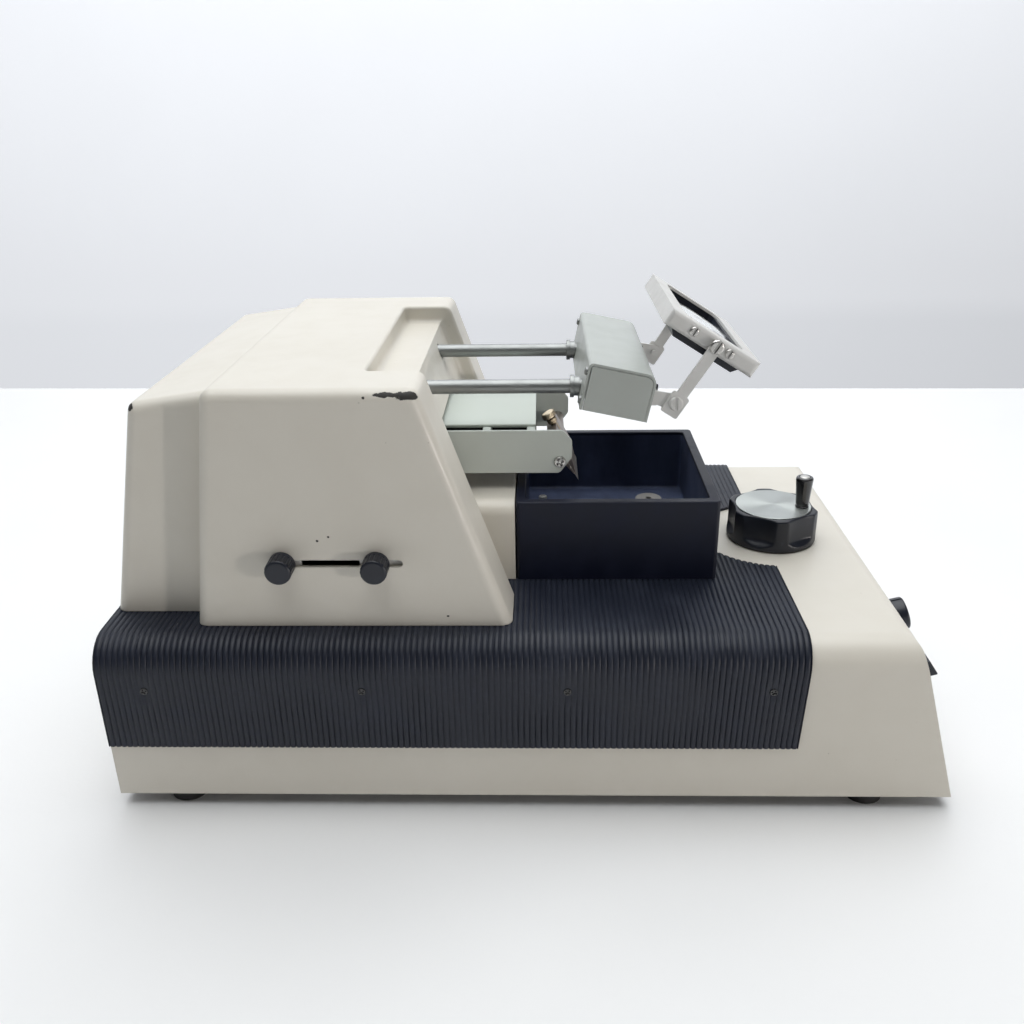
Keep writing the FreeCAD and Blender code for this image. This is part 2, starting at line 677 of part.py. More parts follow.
def crank_handle():
    """The turned grip, free to spin on its own stud."""
    foot = crank_foot()
    x, y, z = foot.x, foot.y, WHEEL_TOP + 0.5
    outline = [
        (4.6, 0), (4.6, 1.2), (3.9, 2.0), (4.1, 5.0), (5.4, 13.0), (5.6, 16.0), (4.9, 18.6), (3.0, 19.8),
    ]
    points = [vec(x + r, y, z + h) for r, h in outline]
    curve = Part.BSplineCurve()
    curve.interpolate(points[2:])
    edges = [
        Part.makeLine(vec(x, y, z), points[0]),
        Part.makeLine(points[0], points[1]),
        Part.makeLine(points[1], points[2]),
        curve.toShape(),
        Part.makeLine(points[-1], vec(x, y, z + CRANK_HEIGHT)),
        Part.makeLine(vec(x, y, z + CRANK_HEIGHT), vec(x, y, z)),
    ]
    grip = Part.Face(Part.Wire(edges)).revolve(vec(x, y, z), Z_AXIS, 360)
    return grip.cut(rod(vec(x, y, z - 1), Z_AXIS, 2.0 + CLEARANCE, 15))


def crank_stud():
    foot = crank_foot()
    return rod(foot, Z_AXIS, 2.0, 13.5)


def handwheel_shaft():
    """The shaft with the belt pulley at its lower end."""
    low = PULLEY_Z - 4
    shaft = rod(vec(WHEEL_X, WHEEL_Y, low), Z_AXIS, 4.0, WHEEL_TOP - 6 - low)
    start = vec(WHEEL_X, WHEEL_Y, PULLEY_Z)
    return fused([shaft, toothed_pulley(start, Z_AXIS, PULLEY_RADIUS, PULLEY_HEIGHT, 4.0, 30)])


def handwheel_bush():
    sleeve = ring(vec(WHEEL_X, WHEEL_Y, BASE_TOP - 8), Z_AXIS, 7.0, 4.0 + CLEARANCE, 8)
    flange = ring(vec(WHEEL_X, WHEEL_Y, BASE_TOP - BASE_WALL - 3), Z_AXIS, 10.0, 4.0 + CLEARANCE, 3)
    return fused([sleeve, flange])


# ---- carriage -------------------------------------------------------------------------------------
def rail_frame():
    """The chassis plate with the two uprights that carry the guide rails and the lead screw."""
    plate = box((RAIL_X[0] - 4, RAIL_X[1]), (-80, 80), (BASE_TOP, BASE_TOP + 3))
    belt_gap = box((RAIL_X[0] - 20, RAIL_X[0] - 1), (-16, 16), (90, 120))
    tools = [belt_gap, rod(vec(-100, 70, 90), Z_AXIS, 8.0, 30)]
    pieces = [cut_all(plate, tools)]
    top = RAIL_Z + 8
    for x in (RAIL_X[0], RAIL_X[1] - RAIL_BLOCK):
        block = box((x, x + RAIL_BLOCK), (-62, 62), (BASE_TOP + 3, top))
        window = rounded_along(box((x - 1, x + RAIL_BLOCK + 1), (-38, 38), (BASE_TOP + 12, 128)), 5.0, X_AXIS)
        tools = [window, rod(vec(x - 1, 0, SCREW_Z), X_AXIS, SCREW_RADIUS + CLEARANCE, RAIL_BLOCK + 2)]
        tools += [rod(vec(x - 1, y, RAIL_Z), X_AXIS, RAIL_RADIUS, RAIL_BLOCK + 2) for y in (-RAIL_Y, RAIL_Y)]
        pieces.append(cut_all(block, tools))
    return fused(pieces)


def guide_rails():
    length = RAIL_X[1] - RAIL_X[0]
    return both_sides(lambda side: rod(vec(RAIL_X[0], side * RAIL_Y, RAIL_Z), X_AXIS, RAIL_RADIUS, length))


def carriage_block():
    low, high = RAIL_Z - 13, RAIL_Z + 13
    block = rounded_along(box(CARRIAGE_X, (-66, 66), (low, high)), 3.0, X_AXIS)
    x = CARRIAGE_X[0] - 1
    length = CARRIAGE_X[1] - CARRIAGE_X[0] + 2
    tools = [rod(vec(x, y, RAIL_Z), X_AXIS, 8.0, length) for y in (-RAIL_Y, RAIL_Y)]
    tools.append(rod(vec(x, 0, SCREW_Z), X_AXIS, 7.0, length))
    return fused([cut_all(block, tools), trip_arm()])


def linear_bushings():
    length = CARRIAGE_X[1] - CARRIAGE_X[0]
    return both_sides(lambda side: ring(vec(CARRIAGE_X[0], side * RAIL_Y, RAIL_Z), X_AXIS, 8.0,
                                        RAIL_RADIUS + CLEARANCE, length))


def lead_nut():
    length = CARRIAGE_X[1] - CARRIAGE_X[0]
    start = vec(CARRIAGE_X[0], 0, SCREW_Z)
    body = ring(start, X_AXIS, 7.0, SCREW_RADIUS + CLEARANCE, length)
    flange = ring(vec(CARRIAGE_X[1], 0, SCREW_Z), X_AXIS, 11.0, SCREW_RADIUS + CLEARANCE, 3)
    return fused([body, flange])


def lead_screw():
    """The screw with its belt pulley, and thread grooves between its plain ends."""
    start, end = DRIVE_BELT_X[0] - 1, RAIL_X[1] - 1
    shaft = rod(vec(start, 0, SCREW_Z), X_AXIS, SCREW_RADIUS, end - start)
    grooves = []
    first = RAIL_X[0] + RAIL_BLOCK + 4
    last = RAIL_X[1] - RAIL_BLOCK - 4
    pitch = 4.0
    for i in range(int((last - first) / pitch)):
        place = vec(first + i * pitch, 0, SCREW_Z)
        grooves.append(ring(place, X_AXIS, SCREW_RADIUS + 1, SCREW_RADIUS - 0.6, 1.4))
    shaft = shaft.cut(Part.makeCompound(grooves))
    start = vec(DRIVE_BELT_X[0] - 0.5, 0, SCREW_Z)
    return fused([shaft, toothed_pulley(start, X_AXIS, SCREW_PULLEY_RADIUS, 7.0, SCREW_RADIUS, 20)])


def motor_pulley():
    """The motor's pulley on its shaft."""
    face = DRIVE_BELT_X[1] + 6
    start = DRIVE_BELT_X[0] - 1
    shaft = rod(vec(start, 0, MOTOR_Z), X_AXIS, 3.0, face + 6 - start)
    pulley = toothed_pulley(vec(start + 0.5, 0, MOTOR_Z), X_AXIS, MOTOR_PULLEY_RADIUS, 7.0, 3.0, 16)
    return fused([shaft, pulley])


def drive_belt():
    x = DRIVE_BELT_X[0] + 0.5
    return belt_loop(vec(x, 0, SCREW_Z), vec(x, 0, MOTOR_Z), X_AXIS, SCREW_PULLEY_RADIUS + CLEARANCE,
                     MOTOR_PULLEY_RADIUS + CLEARANCE, 5.0, 1.2)


def advance_motor():
    face = DRIVE_BELT_X[1] + 6
    gearbox = rod(vec(face, 0, MOTOR_Z), X_AXIS, 18.5, 22)
    can = rod(vec(face + 22, 0, MOTOR_Z), X_AXIS, 14.0, 34)
    boss = ring(vec(face - 3, 0, MOTOR_Z), X_AXIS, 6.0, 3.0 + CLEARANCE, 3)
    height = (MOTOR_Z - 0.4, MOTOR_Z + 0.4)
    terminals = [box((face + 56, face + 60), (y - 1.5, y + 1.5), height) for y in (-6, 6)]
    bore = rod(vec(face - 5, 0, MOTOR_Z), X_AXIS, 3.0 + CLEARANCE, 12)
    return fused([gearbox, can, boss] + terminals).cut(bore)


def motor_bracket():
    face = DRIVE_BELT_X[1] + 6
    roof = BASE_TOP - BASE_WALL
    upright = box((face - 2, face), (-24, 24), (MOTOR_Z - 22, roof))
    foot = box((face, face + 40), (-24, 24), (roof - 2, roof))
    return fused([upright, foot]).cut(rod(vec(face - 5, 0, MOTOR_Z), X_AXIS, 6.0, 10))


# ---- vibrating arm --------------------------------------------------------------------------------
def arm_channel():
    """The wide-topped channel bolted on the carriage, which stays still while the arm plates vibrate."""
    low, top = CHANNEL_Z
    under = top - CHANNEL_SKIN
    hollow_half = CHANNEL_WALL_HALF - CHANNEL_SKIN
    plate = box((CHANNEL_REAR, CHANNEL_FRONT), (-CHANNEL_HALF, CHANNEL_HALF), (under, top))
    plate = rounded(plate, 1.0, lambda edge: along(edge, X_AXIS) and middle(edge).z > under + 1)
    walls = box((CHANNEL_REAR, CHANNEL_FRONT), (-CHANNEL_WALL_HALF, CHANNEL_WALL_HALF), (low, under))
    hollow_x = (CHANNEL_REAR - 1, CHANNEL_FRONT - CHANNEL_SKIN)
    hollow = box(hollow_x, (-hollow_half, hollow_half), (low - 1, under))
    riser = box((CHANNEL_REAR, CARRIAGE_X[1]), (-hollow_half, hollow_half), (RAIL_Z + 13, under))
    return fused([plate, walls.cut(hollow), riser] + flexure_posts())


def arm_plates():
    """The two outer plates with clipped and rounded noses."""
    low, high = ARM_PLATE_Z

    def plate(side):
        y = sorted((side * ARM_PLATE_OUT, side * (ARM_PLATE_OUT - ARM_PLATE)))
        points = [
            (ARM_REAR, low),
            (ARM_FRONT - 7.0, low),
            (ARM_FRONT, low + 9.5),
            (ARM_FRONT, high - 6.2),
            (ARM_FRONT - 5.2, high),
            (ARM_REAR, high),
        ]
        piece = side_outline(points, y)
        piece = rounded(piece, 3.5, lambda edge: along(edge, Y_AXIS) and middle(edge).x > 0)
        return piece.cut(rod(vec(BLADE_PIVOT[0], y[0] - 1, BLADE_PIVOT[1]), Y_AXIS, 3.0, ARM_PLATE + 2))

    return both_sides(plate)


def arm_tie_bar():
    """The cross bar that ties the arm plates together behind the channel's end."""
    inner = ARM_PLATE_OUT - ARM_PLATE
    return box((ARM_REAR, ARM_REAR + 8), (-inner, inner), (CHANNEL_Z[1] + 0.6, CHANNEL_Z[1] + 6)).fuse(
        both_sides(lambda side: box((ARM_REAR, ARM_REAR + 8), sorted((side * inner, side * (inner - 4))),
                                    (172, CHANNEL_Z[1] + 0.7)))).removeSplitter()


def flexure_posts():
    """The spring posts that stand in the gap beside the channel."""
    posts = []
    reach = ARM_PLATE_OUT - ARM_PLATE - VIBRATION - 0.6
    for side in (-1, 1):
        y = sorted((side * (CHANNEL_WALL_HALF - 1), side * reach))
        for x, low in ((-27.0, 168.0), (-1.6, 162.3)):
            posts.append(rounded_along(box((x, x + 5), y, (low, 188.5)), 1.0, Y_AXIS))
    return posts


def vibration_coil():
    """The electromagnet that shakes the arm: a wound bobbin on a laminated core."""
    core = box((-75, -35), (-7, 7), (169, 185))
    bobbin = rounded_along(box((-70, -40), (-15, 15), (167.5, 187)), 4.0, X_AXIS)
    return fused([core, bobbin])


def armature_bar():
    """The steel bar across the arm that the electromagnet pulls, passing below the channel."""
    inner = ARM_PLATE_OUT - ARM_PLATE
    return box((-60, -50), (-inner, inner), (157.0, 164.5))


def blade_local(shape):
    """Places a shape built with +X down the blade holder and +Z out of its face."""
    result = shape.copy()
    result.rotate(vec(0, 0, 0), Y_AXIS, BLADE_LEAN)
    result.translate(vec(BLADE_PIVOT[0], 0, BLADE_PIVOT[1]))
    return result


def pivot_screws():
    def one(side):
        seat = vec(BLADE_PIVOT[0], side * ARM_PLATE_OUT, BLADE_PIVOT[1])
        return screw(seat, Y_AXIS * side, 3.6, 1.7, 2.0, 8.0)

    return both_sides(one)


def blade_holder():
    """The bar that hangs between the arm plates and tapers to the jaw that grips the blade."""
    ends = ARM_PLATE_OUT - ARM_PLATE - 0.3
    half = BLADE_HALF
    bar = rod(vec(0, -ends, 0), Y_AXIS, 3.6, 2 * ends)
    body = side_outline([(-9, -3.2), (7, -3.2), (19, -0.5), (19, -0.15), (7, -0.15), (7, 3.2), (-9, 3.2)],
                        (-half, half))
    tools = [rod(vec(0, side * (ends + 1), 0), Y_AXIS * -side, 2.0 + CLEARANCE, 9) for side in (-1, 1)]
    tools.append(rod(vec(-12, 0, 1.7), X_AXIS, 2.0 + CLEARANCE, 9))
    return blade_local(cut_all(fused([bar, body]), tools))


def blade_clamp():
    """The front jaw."""
    half = BLADE_HALF - 0.5
    plate = side_outline([(7.2, 0.15), (20, 0.15), (20, 0.5), (9, 3.2), (7.2, 3.2)], (-half, half))
    return blade_local(plate)


def blade():
    """The replaceable steel blade, ground to an edge on both faces."""
    points = [(8, -0.13), (BLADE_TIP - 1.6, -0.13), (BLADE_TIP, 0), (BLADE_TIP - 1.6, 0.13), (8, 0.13)]
    return blade_local(side_outline(points, (-BLADE_HALF, BLADE_HALF)))


def thumb_screw():
    """The knurled brass screw that closes the jaw, with its collar."""
    head = rod(vec(-17.2, 0, 1.7), X_AXIS, 4.4, 3.6)
    head = head.makeChamfer(0.5, [edge for edge in head.Edges if edge.Curve.TypeId == "Part::GeomCircle"])
    ridges = []
    for i in range(24):
        ridge = rod(vec(-18, 0, 1.7 + 4.75), X_AXIS, 0.5, 6)
        ridge.rotate(vec(0, 0, 1.7), X_AXIS, 15.0 * i)
        ridges.append(ridge)
    head = head.cut(Part.makeCompound(ridges))
    neck = rod(vec(-13.6, 0, 1.7), X_AXIS, 2.7, 3.6)
    shank = rod(vec(-13.6, 0, 1.7), X_AXIS, 2.0, 10)
    return blade_local(fused([head, neck, shank]))


# ---- travel-limit knobs -----------------------------------------------------------------------------
def limit_knob(x):
    face = -HOOD_HALF - 0.15
    knob = rod(vec(x, face, SLOT_Z), Y_AXIS * -1, LIMIT_KNOB_RADIUS, 11.0)
    knob = rounded(knob, 1.6, lambda edge: edge.BoundBox.YMax < face - 10)
    flutes = []
    for i in range(18):
        flute = rod(vec(x, face - 2.5, SLOT_Z + LIMIT_KNOB_RADIUS + 0.45), Y_AXIS * -1, 0.8, 12)
        flute.rotate(vec(x, 0, SLOT_Z), Y_AXIS, 20.0 * i)
        flutes.append(flute)
    knob = knob.cut(Part.makeCompound(flutes))
    return knob.cut(rod(vec(x, face + 1, SLOT_Z), Y_AXIS * -1, 1.9, 9))


def limit_switch(x, outward):
    """The spindle, its clamping plate behind the slot, and the micro-switch on it.

    The plate reaches further towards its own end of the slot, which is +X or -X by outward.
    """
    wall = -HOOD_HALF + HOOD_WALL + 0.1
    spindle = rod(vec(x, -HOOD_HALF - 8.15, SLOT_Z), Y_AXIS, 1.9, 8.15 + HOOD_WALL + 1.6)
    plate_x = sorted((x - outward * 9.3, x + outward * 14.0))
    plate = box(plate_x, (wall, wall + 1.5), (SLOT_Z - 9, SLOT_Z + 9))
    body = box((x - 8, x + 8), (wall + 1.5, wall + 9), (SLOT_Z - 5, SLOT_Z + 5))
    lever = box((x - 7, x + 7), (wall + 9, wall + 9.6), (SLOT_Z - 2, SLOT_Z + 2))
    return fused([spindle, plate, body, lever])


def trip_arm():
    """The finger on the carriage that passes the two switches."""
    tip = HOOD_HALF - HOOD_WALL - 0.1 - 9.6 - 0.8
    arm = box((CARRIAGE_X[0] + 19, CARRIAGE_X[0] + 22), (-tip, -66), (SLOT_Z - 3, SLOT_Z + 3))
    foot = box((CARRIAGE_X[0] + 2, CARRIAGE_X[0] + 24), (-68, -66), (SLOT_Z - 6, SLOT_Z + 6))
    return fused([arm, foot])


# ---- lamp -----------------------------------------------------------------------------------------
def lamp_local(shape):
    """Places a shape built about the lamp's lower rear corner, before its nose-down tilt."""
    result = shape.copy()
    result.rotate(vec(0, 0, 0), Y_AXIS, LAMP_TILT)
    result.translate(vec(LAMP_PIVOT[0], 0, LAMP_PIVOT[1]))
    return result


def lamp_section(inset):
    """The lamp's cross-section as a prism across its whole width, open below."""
    low = -1.0 if inset else 0.0
    top = LAMP_HEIGHT - inset
    points = [(inset, low), (LAMP_DEPTH - inset, low), (LAMP_DEPTH - inset, top), (inset, top)]
    block = side_outline(points, (-LAMP_HALF, LAMP_HALF))
    upper = [edge for edge in block.Edges if along(edge, Y_AXIS) and middle(edge).z > 10]
    block = block.makeFillet(LAMP_NOSE_RADIUS - inset, [edge for edge in upper if middle(edge).x > 20])
    return rounded(
        block,
        LAMP_BACK_RADIUS - inset,
        lambda edge: along(edge, Y_AXIS) and middle(edge).z > 10 and middle(edge).x < 10,
    )


def lamp_cover():
    """The wrap-round cover, open below and at both ends."""
    skin = lamp_section(0).cut(lamp_section(LAMP_SKIN))
    skin = skin.common(box((-5, 60), (-LAMP_HALF + 0.6, LAMP_HALF - 0.6), (-5, 60)))
    tools = [rod(vec(LAMP_DEPTH - 5, y, LAMP_HEIGHT * 0.55), X_AXIS, 2.4, 10) for y in BUTTON_Y]
    tools += [rod(vec(-1, y, z), X_AXIS, 1.2, 5) for y, z in LAMP_SCREWS]
    skin = lamp_local(cut_all(skin, tools))
    return cut_all(skin, [rod(vec(20, y, ROD_Z), X_AXIS, ROD_RADIUS, 20) for y in (-ROD_Y, ROD_Y)])


def lamp_end_plates():
    def plate(side):
        y = sorted((side * LAMP_HALF, side * (LAMP_HALF - 2.0)))
        panel = lamp_section(LAMP_SKIN + 0.25).common(box((-5, 60), y, (0.2, 60)))
        return lamp_local(panel)

    return both_sides(plate)


def lamp_back_screws():
    screws = [screw(vec(0, y, z), X_AXIS * -1, 2.2, 1.4, 1.2, 1.3) for y, z in LAMP_SCREWS]
    return lamp_local(Part.makeCompound(screws))


def lamp_rods():
    length = ROD_X[1] - ROD_X[0]
    return both_sides(lambda side: rod(vec(ROD_X[0], side * ROD_Y, ROD_Z), X_AXIS, ROD_RADIUS, length))


def rod_collars():
    """The stepped collars that clamp the lamp on its rods."""
    def collar(side):
        back = vec(22.8, side * ROD_Y, ROD_Z)
        step = ring(back, X_AXIS, 6.3, ROD_RADIUS, 2.2)
        return fused([step, ring(back + X_AXIS * 2.2, X_AXIS, 5.4, ROD_RADIUS, 3.2)])

    tool = lamp_local(box((-0.0, 60), (-100, 100), (-20, 60)))
    return both_sides(lambda side: collar(side).cut(tool))


def rod_bushings():
    """Bushings on the inner face of the hood's sunken wall, one for each rod."""
    x = lean(HOOD_FRONT_FOOT - RECESS_DEPTH, -HOOD_FRONT_LEAN, ROD_Z) - 5.8
    bore = ROD_RADIUS + CLEARANCE
    return both_sides(lambda side: ring(vec(x - 10, side * ROD_Y, ROD_Z), X_AXIS, 6.2, bore, 10))


def rod_support():
    """The hanger inside the hood that guides the rear ends of the lamp rods."""
    roof = HOOD_TOP - HOOD_WALL
    hanger = box((-124, -112), (-52, 52), (ROD_Z - 8, roof))
    tools = [rod(vec(-130, y, ROD_Z), X_AXIS, ROD_RADIUS + CLEARANCE, 30) for y in (-ROD_Y, ROD_Y)]
    tools.append(box((-130, -100), (-30, 30), (ROD_Z - 10, roof - 4)))
    return cut_all(hanger, tools)


def lamp_tube():
    """The small fluorescent tube with its end caps."""
    x, z, half = LAMP_DEPTH * 0.5, LAMP_HEIGHT * 0.45, LAMP_HALF - 8
    tube = rod(vec(x, -half, z), Y_AXIS, 6.0, 2 * half)
    caps = [rod(vec(x, side * half, z), Y_AXIS * side, 6.4, 3) for side in (-1, 1)]
    return lamp_local(fused([tube] + caps))


def tube_holders():
    x, z = LAMP_DEPTH * 0.5, LAMP_HEIGHT * 0.45

    def holder(side):
        y = sorted((side * (LAMP_HALF - 5), side * (LAMP_HALF - 2)))
        return lamp_local(rounded_along(box((x - 8, x + 8), y, (z - 8, z + 8)), 2.0, Y_AXIS))

    return both_sides(holder)


def lamp_reflector():
    """The bent white sheet above the tube."""
    half = LAMP_HALF - 4
    low, high = 3.0, LAMP_HEIGHT - 4
    points = [
        (3.4, low),
        (10, high),
        (LAMP_DEPTH - 12, high),
        (LAMP_DEPTH - 5.4, low),
        (LAMP_DEPTH - 4.8, low),
        (LAMP_DEPTH - 11.4, high + 0.6),
        (9.4, high + 0.6),
        (2.8, low),
    ]
    return lamp_local(side_outline(points, (-half, half)))


def lamp_button(y):
    """A push button that stands out of the lamp's nose."""
    z = LAMP_HEIGHT * 0.55
    stem = rod(vec(LAMP_DEPTH - 4, y, z), X_AXIS, 2.4 - CLEARANCE, 8.5)
    stem = rounded(stem, 0.5, lambda edge: edge.BoundBox.XMin > LAMP_DEPTH + 4)
    return lamp_local(stem)


def lens_brackets():
    """The tabs riveted to the lamp's nose that carry the magnifier."""
    def tab(side):
        y = sorted((side * BRACKET_Y, side * (BRACKET_Y - LINK_THICK)))
        eye = rod(vec(LOWER_PIVOT[0], y[0], LOWER_PIVOT[1]), Y_AXIS, 4.6, LINK_THICK)
        blade_points = [(68.0, 208.4), (78.6, 204.4), (81.4, 213.4), (68.4, 215.6)]
        arm = side_outline(blade_points, y)
        foot = box((64, 69.6), sorted((side * BRACKET_Y, side * (BRACKET_Y - 9))), (207.4, 215.6))
        foot = foot.cut(lamp_local(box((-10, LAMP_DEPTH + 0.01), (-100, 100), (-20, 60))))
        piece = fused([arm, eye, foot]).cut(lamp_local(box((-10, LAMP_DEPTH), (-100, 100), (-20, 60))))
        return piece.cut(rod(vec(LOWER_PIVOT[0], y[0] - 1, LOWER_PIVOT[1]), Y_AXIS, 2.0 + CLEARANCE, 4))

    return both_sides(tab)


# ---- magnifier --------------------------------------------------------------------------------------
def link_arms():
    """The two flat links with a wide lower pad."""
    dx = UPPER_PIVOT[0] - LOWER_PIVOT[0]
    dz = UPPER_PIVOT[1] - LOWER_PIVOT[1]
    reach = math.hypot(dx, dz)
    angle = math.degrees(math.atan2(dz, dx))

    def link(side):
        y = (0, LINK_THICK)
        pad = rounded_along(box((-7.5, 5.5), y, (-5.2, 5.2)), 1.2, Y_AXIS)
        strip = box((0, reach), y, (-3.2, 3.2))
        eye = rod(vec(reach, 0, 0), Y_AXIS, 3.2, LINK_THICK)
        piece = fused([pad, strip, eye])
        lower_hole = rod(vec(0, -1, 0), Y_AXIS, 2.0, 5)
        upper_hole = rod(vec(reach, -1, 0), Y_AXIS, 2.0 + CLEARANCE, 5)
        piece = piece.cut(lower_hole).cut(upper_hole)
        piece.rotate(vec(0, 0, 0), Y_AXIS, -angle)
        start = side * BRACKET_Y if side > 0 else -BRACKET_Y - LINK_THICK
        return moved(piece, LOWER_PIVOT[0], start + side * 0.1, LOWER_PIVOT[1])

    return both_sides(link)


def link_screws():
    """The slotted shoulder screws at the lower pivots."""
    def one(side):
        seat = vec(LOWER_PIVOT[0], side * (BRACKET_Y + LINK_THICK + 0.1), LOWER_PIVOT[1])
        return screw(seat, Y_AXIS * side, 3.9, 1.8, 2.0, 6.0, "slot")

    return both_sides(one)


def frame_local(shape):
    """Places a shape built about the magnifier's pivot, with +X down its slope and +Z out of its top."""
    result = shape.copy()
    result.rotate(vec(0, 0, 0), Y_AXIS, FRAME_LEAN)
    result.translate(vec(UPPER_PIVOT[0], 0, UPPER_PIVOT[1]))
    return result


def lens_frame():
    """The bent-sheet surround: a bordered top with turned-down sides."""
    outer = box((FRAME_BACK, FRAME_FRONT), (-FRAME_HALF, FRAME_HALF), (FRAME_DOWN, FRAME_UP))
    outer = rounded_along(outer, 2.6, Z_AXIS, X_AXIS)

    def inset(by, z):
        half = FRAME_HALF - by
        return box((FRAME_BACK + by, FRAME_FRONT - by), (-half, half), z)

    inner = inset(FRAME_SKIN, (FRAME_DOWN - 1, FRAME_UP - FRAME_SKIN))
    window = rounded_along(inset(FRAME_BORDER, (-20, 20)), 6.0, Z_AXIS)
    holes = [rod(vec(x, -FRAME_HALF - 5, 0), Y_AXIS, 2.0, 2 * FRAME_HALF + 10) for x in (-14.0, 0.0, 9.0)]
    return frame_local(cut_all(outer, [inner, window] + holes))


def lens_housing():
    """The black rectangular cell that holds the lens and shows below the surround."""
    back, front = FRAME_BACK + 4.5, FRAME_FRONT - 6.5
    top = FRAME_UP - FRAME_SKIN - 0.1
    low = FRAME_DOWN - 3.4
    points = [(back, top), (back, low + 5), (back + 4, low), (front - 4, low), (front, low + 5), (front, top)]
    cell = side_outline(points, (-LENS_HOUSING_HALF, LENS_HOUSING_HALF))
    half = LENS_HOUSING_HALF - 4.5
    bore = box((back + 4.5, front - 4.5), (-half, half), (low - 1, top + 1))
    return frame_local(cell.cut(rounded_along(bore, 4.0, Z_AXIS)))


def magnifier_lens():
    """A rectangular biconvex lens."""
    back, front = FRAME_BACK + 9.0, FRAME_FRONT - 11.0
    half = LENS_HOUSING_HALF - 4.5
    middle_x = (back + front) / 2
    radius = 260.0
    slab = box((back, front), (-half, half), (-6, 3))
    upper = Part.makeSphere(radius, vec(middle_x, 0, 2.2 - radius))
    lower = Part.makeSphere(radius, vec(middle_x, 0, radius - 5.2))
    return frame_local(rounded_along(slab, 4.0, Z_AXIS).common(upper).common(lower))


def frame_screws():
    """The small screws through the surround's sides into the lens cell."""
    reach = FRAME_HALF - LENS_HOUSING_HALF - 0.1
    screws = []
    for side in (-1, 1):
        for x in (-14.0, 9.0):
            screws.append(screw(vec(x, side * FRAME_HALF, 0), Y_AXIS * side, 2.6, 1.3, 2.0, reach, "slot"))
    return frame_local(Part.makeCompound(screws))


def frame_pivot_screws():
    def one(side):
        seat = vec(0, side * (BRACKET_Y + LINK_THICK + 0.15), 0)
        return screw(seat, Y_AXIS * side, 3.9, 1.8, 2.0, BRACKET_Y + LINK_THICK - LENS_HOUSING_HALF, "slot")

    return frame_local(both_sides(one))


# ---- control panel ----------------------------------------------------------------------------------
def panel_knob(place):
    """A round knob on its shaft, with a pointer groove across its face and down its side."""
    knob = cone(vec(0, 0, 0.3), Z_AXIS, KNOB_RADIUS + 0.4, KNOB_RADIUS - 0.2, KNOB_HEIGHT)
    knob = rounded(knob, 1.4, lambda edge: edge.BoundBox.ZMin > KNOB_HEIGHT)
    face_groove = box((-KNOB_RADIUS - 2, -1), (-0.6, 0.6), (KNOB_HEIGHT - 0.6, KNOB_HEIGHT + 2))
    side_groove = box((-KNOB_RADIUS - 2, 0.8 - KNOB_RADIUS), (-0.6, 0.6), (3, KNOB_HEIGHT + 2))
    knob = cut_all(knob, [face_groove, side_groove, rod(vec(0, 0, -1), Z_AXIS, KNOB_SHAFT_RADIUS, 9)])
    return on_panel(knob, place)


def panel_control(place):
    """A knob with the shaft that it is pressed on to."""
    shaft = on_panel(rod(vec(0, 0, -10), Z_AXIS, KNOB_SHAFT_RADIUS, 18), place)
    return Part.makeCompound([panel_knob(place), shaft])


def potentiometers():
    bodies = []
    for place in PANEL_KNOBS:
        can = rod(vec(0, 0, -18), Z_AXIS, 12.0, 12)
        bush = rod(vec(0, 0, -6), Z_AXIS, 5.0, 6 - BASE_WALL)
        body = fused([can, bush]).cut(rod(vec(0, 0, -12), Z_AXIS, KNOB_SHAFT_RADIUS + CLEARANCE, 20))
        bodies.append(on_panel(body, place))
    return Part.makeCompound(bodies)


def switch_bezels():
    """The raised rims of the rocker switches, each with the switch body behind it."""
    half_x, half_y = ROCKER_HALF
    rims = []
    for place in PANEL_ROCKERS:
        rim = box((-half_x - 2.2, half_x + 2.2), (-half_y - 2.2, half_y + 2.2), (0, 2.0))
        rim = rounded(rim, 1.0, lambda edge: middle(edge).z > 1.9 or along(edge, Z_AXIS))
        body = box((-half_x, half_x), (-half_y, half_y), (-20, 0))
        window = box((-half_x + 1.6, half_x - 1.6), (-half_y + 1.6, half_y - 1.6), (-9, 5))
        pin_hole = rod(vec(0, -ROCKER_PIN_REACH - 0.1, ROCKER_PIN_Z), Y_AXIS, ROCKER_PIN_RADIUS + CLEARANCE,
                       2 * ROCKER_PIN_REACH + 0.2)
        rims.append(on_panel(cut_all(fused([rim, body]), [window, pin_hole]), place))
    return Part.makeCompound(rims)


def rocker(place):
    """A paddle that tips on a pin across its middle, its lower end standing out further."""
    half_x, half_y = ROCKER_HALF[0] - 2.3, ROCKER_HALF[1] - 2.4
    points = [
        (-half_x, -1.0),
        (-half_x * 0.3, -3.4),
        (half_x * 0.3, -3.4),
        (half_x, -1.0),
        (half_x, PADDLE_LOW_END),
        (-half_x, PADDLE_HIGH_END),
    ]
    piece = side_outline(points, (-half_y, half_y))
    piece = rounded(piece, 0.6, lambda edge: middle(edge).z > 2)
    pin = rod(vec(0, -ROCKER_PIN_REACH, ROCKER_PIN_Z), Y_AXIS, ROCKER_PIN_RADIUS, 2 * ROCKER_PIN_REACH)
    return on_panel(piece.fuse(pin), place)


